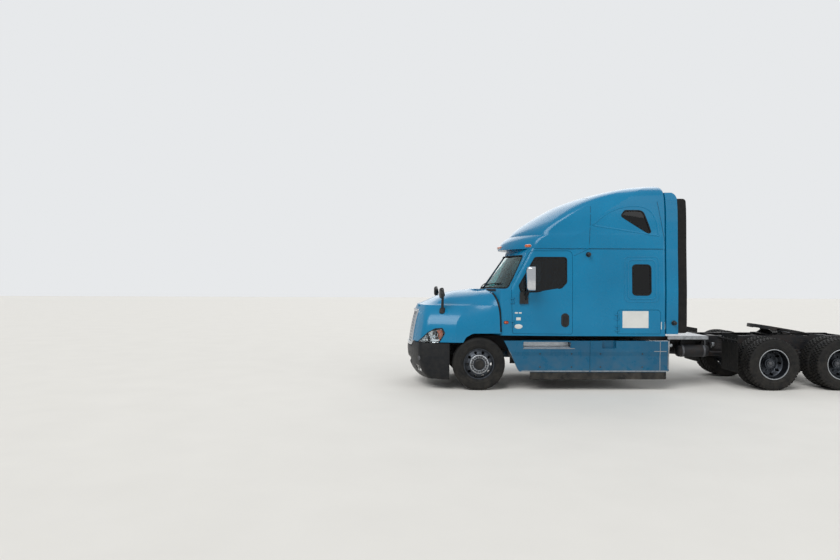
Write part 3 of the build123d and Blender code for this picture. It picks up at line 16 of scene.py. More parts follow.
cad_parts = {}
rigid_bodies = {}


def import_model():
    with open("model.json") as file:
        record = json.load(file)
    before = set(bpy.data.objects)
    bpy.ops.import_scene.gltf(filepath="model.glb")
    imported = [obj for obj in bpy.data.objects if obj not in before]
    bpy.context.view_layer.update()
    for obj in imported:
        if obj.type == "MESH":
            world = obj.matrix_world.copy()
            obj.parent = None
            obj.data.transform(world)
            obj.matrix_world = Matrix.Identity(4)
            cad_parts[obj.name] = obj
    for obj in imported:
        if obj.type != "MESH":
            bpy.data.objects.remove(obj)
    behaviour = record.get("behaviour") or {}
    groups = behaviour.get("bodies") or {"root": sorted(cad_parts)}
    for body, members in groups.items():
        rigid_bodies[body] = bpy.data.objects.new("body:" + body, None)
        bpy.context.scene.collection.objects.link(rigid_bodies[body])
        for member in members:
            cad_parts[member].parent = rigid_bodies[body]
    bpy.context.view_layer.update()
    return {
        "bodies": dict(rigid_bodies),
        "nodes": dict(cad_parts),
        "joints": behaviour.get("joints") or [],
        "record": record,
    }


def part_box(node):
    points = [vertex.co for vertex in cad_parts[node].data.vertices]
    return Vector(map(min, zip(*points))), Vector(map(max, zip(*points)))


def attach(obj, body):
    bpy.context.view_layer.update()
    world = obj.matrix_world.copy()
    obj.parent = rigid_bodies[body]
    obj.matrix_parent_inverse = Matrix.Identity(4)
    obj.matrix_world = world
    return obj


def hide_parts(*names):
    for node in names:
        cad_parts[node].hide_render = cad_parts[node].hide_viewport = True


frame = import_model()
NODES = frame["nodes"]
MM = 0.001
MERGE = 0.02 * MM


def middle(node):
    """The middle of a node's box."""
    low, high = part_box(node)
    return (low + high) / 2


FRONT_AXLE = middle("front_tyre_left").x
AXLE_HEIGHT = middle("front_tyre_left").z / MM
FORE_AXLE = (middle("fore_tyres_left").x - FRONT_AXLE) / MM
AFT_AXLE = (middle("aft_tyres_left").x - FRONT_AXLE) / MM


def at(x, y, z):
    """A point of the drawing in metres."""
    return Vector((FRONT_AXLE + x * MM, y * MM, z * MM))


# Finishes

def linear(code, shade=1.0):
    """The linear colour of a six-digit sRGB code, darkened by a factor."""
    parts = [int(code[i:i + 2], 16) / 255 for i in (0, 2, 4)]
    parts = [c / 12.92 if c < 0.04045 else ((c + 0.055) / 1.055) ** 2.4 for c in parts]
    return tuple(c * shade for c in parts) + (1,)


class Nodes:
    """The few kinds of shader node that the finishes and the world are made of."""

    def __init__(self, tree):
        self.nodes = tree.nodes
        self.links = tree.links

    def feed(self, socket, value):
        """Link or set an input."""
        if isinstance(value, bpy.types.NodeSocket):
            self.links.new(value, socket)
        else:
            socket.default_value = value

    def add(self, kind, output, inputs):
        """An output of a new node. inputs holds values or other outputs by socket."""
        node = self.nodes.new("ShaderNode" + kind)
        for socket, value in inputs.items():
            self.feed(node.inputs[socket], value)
        return node.outputs[output]

    def span(self, value, low, high, to_low=0.0, to_high=1.0):
        """value, stretched from low..high to to_low..to_high and held there."""
        ends = {"From Min": low, "From Max": high, "To Min": to_low, "To Max": to_high}
        return self.add("MapRange", "Result", {"Value": value, **ends})

    def math(self, operation, a, b):
        """A Math node."""
        value = self.add("Math", "Value", {0: a, 1: b})
        value.node.operation = operation
        return value


class Finish(Nodes):
    """A material whose colour, roughness and relief come from textures in object space."""

    def __init__(self, name, **constants):
        self.material = bpy.data.materials.new(name)
        self.material.use_nodes = True
        super().__init__(self.material.node_tree)
        self.shader = self.nodes["Principled BSDF"].inputs
        self.place = self.add("TexCoord", "Object", {})
        for socket, value in constants.items():
            self.shader[socket.replace("_", " ")].default_value = value

    def noise(self, scale, detail=3.0, roughness=0.5):
        """Noise between 0 and 1 at so many waves a metre."""
        inputs = {"Vector": self.place, "Scale": scale, "Detail": detail, "Roughness": roughness}
        return self.add("TexNoise", "Fac", inputs)

    def height(self, axis="Z"):
        """Height above the ground in metres, or the place along another axis."""
        return self.add("SeparateXYZ", axis, {"Vector": self.place})

    def mix(self, share, a, b):
        """Colour a, replaced by colour b as share goes from 0 to 1."""
        node = self.nodes.new("ShaderNodeMix")
        node.data_type = "RGBA"
        for socket, value in ((0, share), (6, a), (7, b)):
            self.feed(node.inputs[socket], value)
        return node.outputs[2]

    def wear(self, colour, roughness, bump=None, depth=0.0, strength=1.0):
        """The material in this colour and roughness, with a bump of so many metres."""
        self.feed(self.shader["Base Color"], colour)
        self.feed(self.shader["Roughness"], roughness)
        if bump:
            relief = {"Height": bump, "Distance": depth, "Strength": strength}
            self.feed(self.shader["Normal"], self.add("Bump", "Normal", relief))
        return self.material


DUST = linear("6E675C")
SKIRT = linear("0B0D0F")


def paint(name, code, dark_code, black_below=None):
    """Clear-coated body paint: slow shade changes, fine flake and road dust low down."""
    f = Finish(name, Coat_Weight=0.3, Coat_Roughness=0.08, Specular_IOR_Level=0.2)
    base = f.mix(f.span(f.noise(0.9, 2), 0.3, 0.7), linear(code), linear(dark_code))
    patchy = f.span(f.noise(7, 5, 0.6), 0.35, 0.75)
    dust = f.math("MULTIPLY", patchy, f.span(f.height(), 1.05, 0.25, 0.02, 0.3))
    if black_below:
        base = f.mix(f.span(f.height(), black_below - 0.001, black_below, 1, 0), base, SKIRT)
    uneven = f.math("ADD", dust, f.math("MULTIPLY", f.noise(3, 4), 0.25))
    return f.wear(f.mix(dust, base, DUST), f.span(uneven, 0, 1, 0.22, 0.6), f.noise(420, 2), 0.00005, 0.2)


def grained(name, code, rough, grain=350, depth=0.0004, dust=0.25, dust_top=1.2, gloss=0.5):
    """Moulded plastic, rubber or coated metal with a fine grain, dusty low down."""
    f = Finish(name, Specular_IOR_Level=gloss)
    patchy = f.span(f.noise(9, 5, 0.65), 0.35, 0.8)
    share = f.math("MULTIPLY", patchy, f.span(f.height(), dust_top, 0.1, 0.05, dust * 2))
    tone = f.mix(f.noise(2.5, 3), linear(code), linear(code, 0.7))
    uneven = f.span(f.noise(22, 3), 0.2, 0.8, rough - 0.08, rough + 0.1)
    return f.wear(f.mix(share, tone, DUST), uneven, f.noise(grain, 3), depth, 0.6)


def metal(name, code, rough, smear=0.12, grime=0.0, grime_code="2A2622"):
    """Bare or plated metal with smears and grime in patches."""
    f = Finish(name, Metallic=1.0)
    streak = f.noise(30, 4, 0.6)
    dirty = f.math("MULTIPLY", f.span(f.noise(12, 5, 0.7), 0.45, 0.75), grime)
    tone = f.mix(streak, linear(code), linear(code, 0.8))
    return f.wear(f.mix(dirty, tone, linear(grime_code)), f.span(streak, 0.3, 0.7, rough, rough + smear))


def cast(name, code, rust_code, rust=0.5):
    """Painted or bare casting: coarse skin with rust and grime in patches."""
    f = Finish(name, Metallic=0.2)
    patch = f.span(f.noise(8, 6, 0.7), 0.45, 0.7)
    tone = f.mix(f.math("MULTIPLY", patch, rust), linear(code), linear(rust_code))
    return f.wear(tone, f.span(patch, 0, 1, 0.55, 0.85), f.noise(90, 5, 0.65), 0.0012, 0.5)


def glass(name, code, rough=0.0, behind=None):
    """Tinted glass. behind is (x in metres, code) where the tint changes further back."""
    f = Finish(name, Transmission_Weight=1.0, IOR=1.45)
    tint = f.mix(f.span(f.noise(1.5, 2), 0.3, 0.7, 0, 0.4), linear(code), linear(code, 0.85))
    if behind:
        tint = f.mix(f.span(f.height("X"), behind[0], behind[0] + 0.01), tint, linear(behind[1]))
    return f.wear(tint, f.span(f.noise(14, 4), 0.4, 0.8, rough, rough + 0.04))


def lens(name, code):
    """Coloured lamp plastic with moulded ribs."""
    f = Finish(name, Transmission_Weight=0.35, IOR=1.49, Coat_Weight=1.0, Coat_Roughness=0.03)
    ribs = f.add("TexWave", "Fac", {"Vector": f.place, "Scale": 90})
    tone = f.mix(f.span(ribs, 0, 1, 0, 0.35), linear(code), linear(code, 0.5))
    return f.wear(tone, f.span(f.noise(20, 2), 0, 1, 0.1, 0.2), ribs, 0.0008, 0.6)


def cloth(name, code, other, scale=420):
    """Woven seat cloth with thread relief and slow fading."""
    f = Finish(name, Sheen_Weight=0.3, Sheen_Roughness=0.5)
    threads = f.add("TexVoronoi", "Distance", {"Vector": f.place, "Scale": scale})
    tone = f.mix(f.span(threads, 0.1, 0.7), linear(code), linear(other))
    return f.wear(tone, f.span(f.noise(6, 3), 0, 1, 0.8, 0.95), threads, 0.0007, 0.8)


PAINT = paint("paint_blue", "00749E", "006A92")
# The fairings wear a darker copy of the body blue: painted shade for their place low under the cab. Below
# 0.352 m they turn black.
SHADED_FAIRING_PAINT = paint("paint_fairing_shaded", "00587A", "004C6C", 0.352)
FRAME_BLACK = cast("frame_paint", "14161A", "3A2E26", 0.55)
BLACK = grained("black_plastic", "0C0F12", 0.5, dust=0.1, gloss=0.35)
BLACK_SMOOTH = grained("black_smooth", "0A0D10", 0.3, depth=0.0001)
BUMPER_BLACK = grained("bumper_plastic", "060B12", 0.45, dust=0.06, gloss=0.3)
SEAL = grained("seal_rubber", "060708", 0.7, dust=0.05, gloss=0.25)
CHROME = metal("chrome", "D8DCE0", 0.06, 0.1)
ALUMINIUM = metal("aluminium", "A8ACB0", 0.3, 0.2, 0.5)
MIRROR = metal("mirror_glass", "C4CCD2", 0.03, 0.04)
REFLECTOR = metal("reflector", "E4E8EA", 0.08, 0.08)
WHITE = grained("white_film", "D9DAD6", 0.4, depth=0.00005, dust=0.1)
STEP_METAL = metal("step_metal", "D4D8DC", 0.42, 0.12, 0.15)
WHEEL_METAL = metal("wheel_metal", "4C5056", 0.38, 0.25, 0.7, "141312")
RING_METAL = metal("wheel_ring", "B4B8BC", 0.3, 0.2, 0.3, "4A4642")
STEEL = metal("steel", "6A6C70", 0.4, 0.25, 0.6, "3A2A1E")
CAST = cast("cast_iron", "24262A", "4A3426", 0.6)
GREASY = cast("greased_plate", "1C1D1F", "3C3026", 0.5)
TYRE = grained("tyre_rubber", "0C0D0E", 0.75, grain=500, depth=0.0003, dust=0.09, dust_top=1.1, gloss=0.3)
# The windows' teal is partly the glass's own tint and partly a painted reflection of a blue wall; from 2400
# mm behind the front axle the panes turn dark.
GLASS = glass("glass_tint_and_reflection", "7FB4B4", behind=(at(2400, 0, 0).x, "1A2428"))
GLASS_DARK = glass("glass_dark", "3A4A50")
LENS_CLEAR = glass("lens_clear", "F0F4F6", 0.02)
AMBER = lens("lens_amber", "E8660A")
RED = lens("lens_red", "B01010")
INTERIOR = grained("interior_plastic", "3C3E42", 0.6, dust=0.0)
INTERIOR_DARK = grained("interior_dark", "1E2023", 0.6, dust=0.0)
CARPET = cloth("cab_carpet", "1E1F22", "35363A", 260)
FABRIC = cloth("seat_fabric", "2A3440", "46566A")
MATTRESS = cloth("mattress_fabric", "B8B2A2", "D8D3C4", 300)
VINYL = grained("vinyl_trim", "55585C", 0.65, grain=180, dust=0.0)

# The nodes in each finish, where a name that ends in an underscore is a left and a right node
NODE_FINISH = {
    PAINT: "cab_front cab_side_ rear_wall roof side_extenders hood door_ luggage_door_",
    SHADED_FAIRING_PAINT: "fairing_",
    FRAME_BLACK: "rail_ crossmembers suspension fifth_wheel_base side_boxes",
    CAST: "engine drive_line front_axle knuckle_ tie_rod",
    GREASY: "fifth_wheel",
    ALUMINIUM: "deck_plate fuel_tanks",
    SEAL: "extender_edges mud_flaps rear_fenders",
    BUMPER_BLACK: "bumper",
    CHROME: "grille",
    BLACK_SMOOTH: "hood_mirrors mirror_",
    LENS_CLEAR: "headlights fog_lamps",
    GLASS: "windows",
    GLASS_DARK: "door_glass_",
    INTERIOR: "dashboard bunk",
    CARPET: "cab_floor",
    INTERIOR_DARK: "steering_wheel",
    FABRIC: "seats",
    MATTRESS: "mattress",
    WHEEL_METAL: "front_wheel_ fore_wheels_ aft_wheels_",
    TYRE: "front_tyre_ fore_tyres_ aft_tyres_",
}

for finish, names in NODE_FINISH.items():
    for name in names.split():
        for node_name in (name + "left", name + "right") if name.endswith("_") else (name,):
            node = NODES[node_name]
            if not node.data.materials:
                node.data.materials.append(finish)
            for slot in node.material_slots:
                slot.material = finish


# Outlines: lists of (u, v) points, counter-clockwise

def circle(radius, steps=24, start=0.0):
    """A circle's points."""
    turns = [start + 2 * math.pi * i / steps for i in range(steps)]
    return [(radius * math.cos(t), radius * math.sin(t)) for t in turns]


def rounded(corners, radius, steps=4):
    """The polygon through corners, each rounded by the same radius or by its own."""
    radii = radius if hasattr(radius, "__len__") else [radius] * len(corners)
    points = []
    for i, r in enumerate(radii):
        p = Vector(corners[i])
        a = (Vector(corners[i - 1]) - p).normalized()
        b = (Vector(corners[(i + 1) % len(corners)]) - p).normalized()
        half = math.acos(a.dot(b)) / 2
        hub = p + (a + b).normalized() * (r / math.sin(half))
        start, end = (p + way * (r / math.tan(half)) - hub for way in (a, b))
        sweep = start.angle_signed(end)
        for k in range(steps + 1):
            points.append(tuple(hub + Matrix.Rotation(-sweep * k / steps, 2) @ start))
    return points


def oblong(wide, tall, radius, steps=4):
    """A rounded rectangle about the middle."""
    w, h = wide / 2, tall / 2
    return rounded([(-w, -h), (w, -h), (w, h), (-w, h)], radius, steps)


def moved(outline, du, dv):
    """The outline moved sideways and up."""
    return [(u + du, v + dv) for u, v in outline]


def turned(outline, degrees):
    """The outline turned about the middle."""
    c, s = math.cos(math.radians(degrees)), math.sin(math.radians(degrees))
    return [(c * u - s * v, s * u + c * v) for u, v in outline]


def shrunk(outline, by, sharpest=0.35):
    """The outline moved inwards, and at a corner no further than by / sharpest."""
    points = []
    for i, p in enumerate(outline):
        a = (Vector(p) - Vector(outline[i - 1])).normalized()
        b = (Vector(outline[(i + 1) % len(outline)]) - Vector(p)).normalized()
        inward = Vector((-a.y - b.y, a.x + b.x))
        points.append(tuple(Vector(p) + inward.normalized() * (by / max(sharpest, inward.length / 2))))
    return points


def dense(points, step, closed=True):
    """The path with points added so that none is more than a step from the next."""
    out = []
    last = len(points) if closed else len(points) - 1
    for i in range(last):
        a, b = Vector(points[i]), Vector(points[(i + 1) % len(points)])
        count = max(1, math.ceil((b - a).length / step))
        out += [tuple(a.lerp(b, k / count)) for k in range(count)]
    return out if closed else out + [tuple(points[-1])]


def smooth(points, per_span=6):
    """A soft curve through points, which stays open."""
    pts = [Vector(p) for p in points]
    out = []
    for i in range(len(pts) - 1):
        p0, p1 = pts[max(i - 1, 0)], pts[i]
        p2, p3 = pts[i + 1], pts[min(i + 2, len(pts) - 1)]
        for k in range(per_span):
            t = k / per_span
            out.append(0.5 * (2 * p1 + (p2 - p0) * t + (2 * p0 - 5 * p1 + 4 * p2 - p3) * t * t
                              + (3 * p1 - p0 - 3 * p2 + p3) * t ** 3))
    return out + [pts[-1]]


def directions(path, loop):
    """The way that a path runs at each of its points."""
    ways = []
    for i, p in enumerate(path):
        before = path[i - 1] if i or loop else p
        after = path[(i + 1) % len(path)] if i < len(path) - 1 or loop else p
        ways.append((after - before).normalized())
    return ways


# Frames: functions that turn (u, v, out) into a point of the drawing

def axes(origin, u, v):
    """A frame at origin with its first two axes along u and v."""
    origin, u, v = Vector(origin), Vector(u).normalized(), Vector(v).normalized()
    w = u.cross(v)
    return lambda a, b, c=0.0: origin + u * a + v * b + w * c


def facing_left(*place):
    """A frame that looks out of the truck's left side."""
    return axes(place, (1, 0, 0), (0, 0, 1))


def facing_ahead(*place):
    """A frame that looks forward."""
    return axes(place, (0, -1, 0), (0, 0, 1))


def facing_back(*place):
    """A frame that looks to the rear."""
    return axes(place, (0, 1, 0), (0, 0, 1))


def facing_up(*place):
    """A frame that looks up."""
    return axes(place, (1, 0, 0), (0, 1, 0))


def on_surface(hit):
    """A frame that looks out of a surface where a ray hit it."""
    point, normal = hit
    u = Vector((0, 0, 1)).cross(normal)
    return axes(point, u, normal.cross(u))


def shifted(frame, u, v, w):
    """A frame like another one, moved within it."""
    return axes(frame(u, v, w), frame(1, 0) - frame(0, 0), frame(0, 1) - frame(0, 0))


def around(frame, radius, count, out, turn=0.0):
    """Frames set evenly round a circle, all facing out."""
    return [shifted(frame, u, v, out) for u, v in circle(radius, count, turn)]


FAR = 2500  # well outside the truck's left side and, from the front axle, its front


class Skin:
    """The outer surface of some nodes, for trim that lies on it."""

    def __init__(self, *names):
        points, faces = [], []
        for name in names:
            mesh = NODES[name].data
            start = len(points)
            points += [v.co.copy() for v in mesh.vertices]
            faces += [tuple(start + i for i in p.vertices) for p in mesh.polygons]
        self.tree = BVHTree.FromPolygons(points, faces)

    def ray(self, start, way):
        """Where a ray meets the skin, as (point, normal) in millimetres, or None."""
        point, normal, _, _ = self.tree.ray_cast(at(*start), Vector(way).normalized())
        if point is None:
            return None
        if normal.dot(Vector(way)) > 0:
            normal = -normal
        return (point - at(0, 0, 0)) / MM, normal

    def left(self, x, z):
        """Where the left side is at (x, z)."""
        return self.ray((x, -FAR, z), (0, 1, 0))

    def ahead(self, y, z):
        """Where the front is at (y, z)."""
        return self.ray((-FAR, y, z), (1, 0, 0))

    def back(self, y, z, start):
        """Where the back is at (y, z), seen from x = start."""
        return self.ray((start, y, z), (-1, 0, 0))


class Form:
    """Points and faces in millimetres of the drawing, which become one piece."""

    def __init__(self):
        self.points = []
        self.faces = []

    def add(self, points, faces):
        """Take in more points and the faces between them."""
        start = len(self.points)
        self.points += [Vector(p) for p in points]
        self.faces += [tuple(start + i for i in face) for face in faces]
        return self

    def skin(self, rings, caps=True, loop=False):
        """Cover a row of rings that have the same number of points."""
        count = len(rings[0])
        faces = []
        for i in range(len(rings) if loop else len(rings) - 1):
            a, b = i * count, (i + 1) % len(rings) * count
            for j in range(count):
                k = (j + 1) % count
                faces.append((a + j, a + k, b + k, b + j))
        if caps and not loop:
            top = (len(rings) - 1) * count
            faces.append(tuple(reversed(range(count))))
            faces.append(tuple(range(top, top + count)))
        return self.add([p for ring in rings for p in ring], faces)

    def levels(self, outline, frame, levels):
        """The outline at each (inset, out) of the levels, covered."""
        return self.skin([[frame(u, v, w) for u, v in shrunk(outline, inset)] for inset, w in levels])

    def prism(self, outline, frame, low, high, bevel=1.5):
        """The outline pushed along its frame from low to high, with bevelled rims."""
        bevel = min(bevel, (high - low) / 2.2)
        return self.levels(outline, frame, ((bevel, low), (0, low + bevel), (0, high - bevel), (bevel, high)))

    def box(self, x, y, z, bevel=3):
        """A bevelled box from its (low, high) pairs."""
        outline = oblong(x[1] - x[0], y[1] - y[0], bevel, 1)
        return self.prism(outline, facing_up((x[0] + x[1]) / 2, (y[0] + y[1]) / 2, 0), *z, bevel)

    def lathe(self, profile, frame, steps=32, loop=False):
        """The (radius, out) profile turned about the frame's third axis."""
        rings = [[frame(u, v, out) for u, v in circle(radius, steps)] for radius, out in profile]
        return self.skin(rings, loop=loop)

    def tube(self, path, radius, sides=8, loop=False):
        """A round bar along a path. radius is one number or one for each point."""
        path = [Vector(p) for p in path]
        radii = radius if hasattr(radius, "__len__") else [radius] * len(path)
        ways = directions(path, loop)
        side = ways[0].cross(Vector((0, 0, 1))) if abs(ways[0].z) < 0.9 else ways[0].orthogonal()
        rings = []
        for p, way, size in zip(path, ways, radii):
            side = (side - way * side.dot(way)).normalized()
            up = way.cross(side)
            rings.append([p + side * u + up * v for u, v in circle(size, sides)])
        return self.skin(rings, loop=loop)

    def strip(self, hits, section, loop=False):
        """The (across, out) section carried along surface hits."""
        hits = [h for h in hits if h]
        rings = []
        for (point, normal), way in zip(hits, directions([point for point, _ in hits], loop)):
            across = normal.cross(way)
            rings.append([point + across * a + normal * b for a, b in section])
        return self.skin(rings, loop=loop)

    def trim(self, look, path, section, step=40, closed=True):
        """The section carried along a path on the surface that look hits."""
        return self.strip([look(u, v) for u, v in dense(path, step, closed)], section, closed)

    def bolt(self, frame, across=18, height=8):
        """A washer and a hexagon head."""
        self.lathe([(across * 0.75, -1), (across * 0.75, 1.5), (across * 0.6, 2.2)], frame, 14)
        profile = [(across * 0.5, 1), (across * 0.577, height - 1.5), (across * 0.5, height)]
        return self.lathe(profile, frame, 6)

    def raised(self, look, outline, centre, height):
        """A plate that lies on what look hits: its (x, z) outline, drawn about a centre."""
        hits = [look(centre[0] + u, centre[1] + v) for u, v in outline]
        rings = []
        for inset, level in ((0, -1.0), (0, height * 0.5), (1.0, height)):
            rings.append([Vector((centre[0] + u, point.y, centre[1] + v)) + normal * level
                          for (u, v), (point, normal) in zip(shrunk(outline, inset), hits)])
        return self.skin(rings)

    def joined(self, other):
        """Both forms as one."""
        return Form().add(self.points, self.faces).add(other.points, other.faces)

    def mirrored(self):
        """The right-hand twin."""
        points = [(p.x, -p.y, p.z) for p in self.points]
        return Form().add(points, [tuple(reversed(face)) for face in self.faces])

    def twins(self):
        """Both sides' names with the form and its twin."""
        return ("left", self), ("right", self.mirrored())

    def mesh(self, name):
        """The form as a mesh in metres."""
        mesh = bpy.data.meshes.new(name)
        mesh.from_pydata([at(*p) for p in self.points], [], self.faces)
        return mesh


def symmetric(*half):
    """A section on a surface, from the (across, out) points of its half."""
    return list(half) + [(-a, out) for a, out in reversed(half)]


def bead(width, height):
    """A half-round section."""
    w = width / 2
    return symmetric((w, -1), (w * 0.9, height * 0.6), (w * 0.4, height))


def flat_strip(width, height):
    """A flat section."""
    w = width / 2
    return symmetric((w, -1), (w, height * 0.7), (w - 0.4, height))


def placed(name, data):
    """A new object in the scene."""
    thing = bpy.data.objects.new(name, data)
    bpy.context.scene.collection.objects.link(thing)
    return thing


def dressed(name, mesh, finish, body="chassis", sharp=None):
    """A mesh as a smooth-shaded piece in its finish, which rides on a body."""
    mesh.materials.clear()
    mesh.materials.append(finish)
    mesh.shade_smooth()
    if sharp:
        mesh.set_sharp_from_angle(angle=math.radians(sharp))
    thing = placed(name, mesh)
    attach(thing, body)
    return thing


def piece(name, form, finish, body="chassis", sharp=35):
    """A form as a piece that rides on a body, with edges of over sharp degrees left sharp."""
    mesh = form.mesh(name)
    bm = bmesh.new()
    bm.from_mesh(mesh)
    bmesh.ops.remove_doubles(bm, verts=bm.verts, dist=MERGE)
    bmesh.ops.recalc_face_normals(bm, faces=bm.faces)
    bm.to_mesh(mesh)
    bm.free()
    return dressed(name, mesh, finish, body, sharp)


def pair(name, left, finish, body="chassis"):
    """A left-hand form and its twin: one piece, or one on each side's body."""
    if "{}" in body:
        for side, form in left.twins():
            piece(f"{name}_{side}", form, finish, body.format(side))
    else:
        piece(name, left.joined(left.mirrored()), finish, body)


# Outlines of the drawing that trim follows: points and corner radii, or the points of a soft line
PANE = ([(22, 1935), (1035, 1935), (965, 2560), (22, 2560)], (30, 60, 60, 30))
DOOR_WINDOW = ([(790, 1862), (1100, 1868), (1560, 1945), (1655, 2050), (1657, 2522), (1060, 2522),
                (760, 1985)], (45, 300, 60, 60, 50, 60, 40))
LOWER_WINDOW = ([(2907, 1816), (3260, 1816), (3260, 2387), (2907, 2387)], 70)
UPPER_WINDOW = ([(3312, 2920), (3110, 3420), (2770, 3420), (2690, 3320)], (45, 110, 50, 40))
CREASE = [(2143, 3140), (2434, 3370), (2725, 3487), (3016, 3509), (3235, 3440), (3370, 3230), (3417, 2944)]
DRIP = [(612, 2010), (800, 2350), (930, 2640), (1060, 2700), (1500, 2704), (2081, 2700)]
HEADLIGHT = ([(-1150, 905), (-765, 885), (-650, 1075), (-690, 1170), (-830, 1160), (-965, 1085)],
             (10, 20, 30, 30, 60, 60))
TURN_LAMP = ((-745, 925), (-690, 1050), (-702, 1140), (-800, 1135), (-775, 1030))
GRILLE_MOUTH = ([(-600, 815), (600, 815), (540, 1500), (-540, 1500)], 60)

# Wheels: half a tyre's width, the bead's radius, the crown's height, and the discs' outer faces
TYRE_HALF = 141
BEAD = 291
CROWN = 6
CROWN_HALF = 112
FRONT_DISC = 1205
NUT_CIRCLE = 142.9
DRIVE_FACE = 1066
DRIVE_RIM_FACE = 1200

# Treads: ribs of (low, high, depth of their cross cuts, phase), depth of the grooves between them,
# depth of the shoulder's lugs, pitches round the tyre, and the cuts' share of a pitch
STEER_TREAD = ([(-118, -84, 3, 0.5), (-72, -40, 4, 0.2), (-28, 28, 3, 0), (40, 72, 4, 0.3),
                (84, 118, 3, 0.6)], 13, 3, 64, 0.1)
DRIVE_TREAD = ([(-122, -68, 17, 0.5), (-58, -6, 15, 0), (6, 58, 15, 0.5), (68, 122, 17, 0)], 19, 10, 46, 0.24)

# The frame, its deck and its coupling
RAIL_OUT = 432
CROSSMEMBERS = (1750, 2900, 4200, 5000, 5950, 6650, 7400)
FRAME_END = 7660
TAIL_LAMPS = 904
BEHIND = 6000  # behind the cab, where rays to its back start
DECK = ((3800, 4620), (-650, 650), 993)
FIFTH_PIVOT = (6290, 0, 1048)
FIFTH_TOP = 80
FIFTH_TILT = math.radians(9.6)

# Flaps before and behind the drive wheels: x, (inner, outer) side, (foot, head) and their arms' height
FLAPS = ((4935, (560, 1200), (340, 1060), 950), (7564, (610, 1225), (300, 880), 890))
FLAP_HALF = 4


# Tyres and wheels

def tread_radius(w):
    """The tyre's radius over its tread, w from its middle."""
    return AXLE_HEIGHT - CROWN * (w / CROWN_HALF) ** 2


def tyre_columns(ribs, groove, wall):
    """Points (w, radius, depth of the cross cuts, phase) round a tyre's section."""
    side = [(116, BEAD), (127, 296), (133, 312), (136, 316), (139, 345), (141, 349), (141, 356), (139.5, 360),
            (140.5, 385), (139, 420), (136, 440), (136.6, 443), (136.6, 448), (134, 452)]
    lugs = [(130, 466, wall / 2, ribs[-1][3]), (124, 482, wall, ribs[-1][3])]
    outer = [(w, r, 0, 0) for w, r in side] + lugs
    inner = [(-w, r, cut, ribs[0][3] if cut else 0) for w, r, cut, _ in reversed(outer)]
    tread = []
    for low, high, cut, phase in ribs:
        tread.append((low + 1.5, tread_radius(low) - groove, 0, phase))
        tread += [(w, tread_radius(w), cut, phase) for w in (low, (low + high) / 2, high)]
        tread.append((high - 1.5, tread_radius(high) - groove, 0, phase))
    return outer[::-1] + tread[::-1][1:-1] + inner[::-1]


def tyre(frame, tread):
    """A treaded tyre about a frame's third axis."""
    ribs, groove, wall, pitches, cut = tread
    columns = tyre_columns(ribs, groove, wall)
    rings = []
    for pitch, (share, low) in product(range(pitches), ((0, 0), (0.92 - cut, 0), (1 - cut, 1), (0.94, 1))):
        ring = []
        for w, r, depth, phase in columns:
            turn = 2 * math.pi * (pitch + share + phase) / pitches
            radius = r - depth * low
            ring.append(frame(radius * math.cos(turn), radius * math.sin(turn), w))
        rings.append(ring)
    return Form().skin(rings, loop=True)


def build_tyres():
    """Steering tyres with ribs and drive tyres with blocks, twins in one piece."""
    for name, x, body, tread in (
        ("front_tyre", 0, "front_wheel", STEER_TREAD),
        ("fore_tyres", FORE_AXLE, "fore_wheels", DRIVE_TREAD),
        ("aft_tyres", AFT_AXLE, "aft_wheels", DRIVE_TREAD),
    ):
        low, high = (corner.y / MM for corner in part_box(f"{name}_left"))
        form = Form()
        for y in [(low + high) / 2] if tread is STEER_TREAD else [low + TYRE_HALF, high - TYRE_HALF]:
            form = form.joined(tyre(facing_left(x, y, AXLE_HEIGHT), tread))
        for side, shape in form.twins():
            thing = piece(f"{name}_{side}_tread", shape, TYRE, f"{body}_{side}", sharp=28)
            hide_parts(f"{name}_{side}")


def build_wheel_trim():
    """Hub caps with their bolts, nut rings, valve stems and bright rims."""
    face = facing_left(0, -FRONT_DISC, AXLE_HEIGHT)
    ring, nuts, hub = Form(), Form(), Form()
    ring.lathe([(114, 0), (116, 4), (122, 6), (172, 6), (178, 3), (178, 0)], face, 64, loop=True)
    for place in around(face, NUT_CIRCLE, 10, 0):
        nuts.lathe([(24, 5), (24, 7.5), (18, 8)], place, 20)
        nuts.lathe([(19, 6), (19, 26), (14, 31), (11, 31), (11, 38), (8, 40)], place, 6)
    hub.lathe([(90, 0), (92, 26), (86, 32), (86, 40), (78, 44), (60, 46), (56, 40.5), (20, 40.5)], face, 48)
    for place in around(face, 71, 6, 44, 0.3):
        hub.bolt(place, 14, 8)
    path = [face(0, v, out) for v, out in ((208, -60), (212, -20), (206, 10), (196, 22))]
    body = "front_wheel_{}"
    pair("front_wheel_ring", ring, RING_METAL, body)
    pair("front_wheel_nuts", nuts, STEEL, body)
    pair("front_hub_cap", hub, BLACK, body)
    pair("front_valve_stem", Form().tube(path, [5, 5, 5, 6]), STEEL, body)
    for name, x in (("fore", FORE_AXLE), ("aft", AFT_AXLE)):
        face = facing_left(x, -DRIVE_FACE, AXLE_HEIGHT)
        hub = Form().lathe([(34, 0), (34, 5), (28, 9), (10, 10)], face, 24)
        for place in around(face, 56, 8, 0, 0.2):
            hub.bolt(place, 15, 9)
        rim = facing_left(x, -DRIVE_RIM_FACE, AXLE_HEIGHT)
        profile = [(276, -6), (277, 1.5), (284, 3), (292, 1.5), (293, -6)]
        stem = Form().tube([rim(0, v, out) for v, out in ((232, -90), (236, -40), (228, 0))], 5)
        body = name + "_wheels_{}"
        pair(f"{name}_hub_bolts", hub, STEEL, body)
        pair(f"{name}_rim_bead", Form().lathe(profile, rim, 72, loop=True), RING_METAL, body)
        pair(f"{name}_valve_stem", stem, STEEL, body)


# Cab

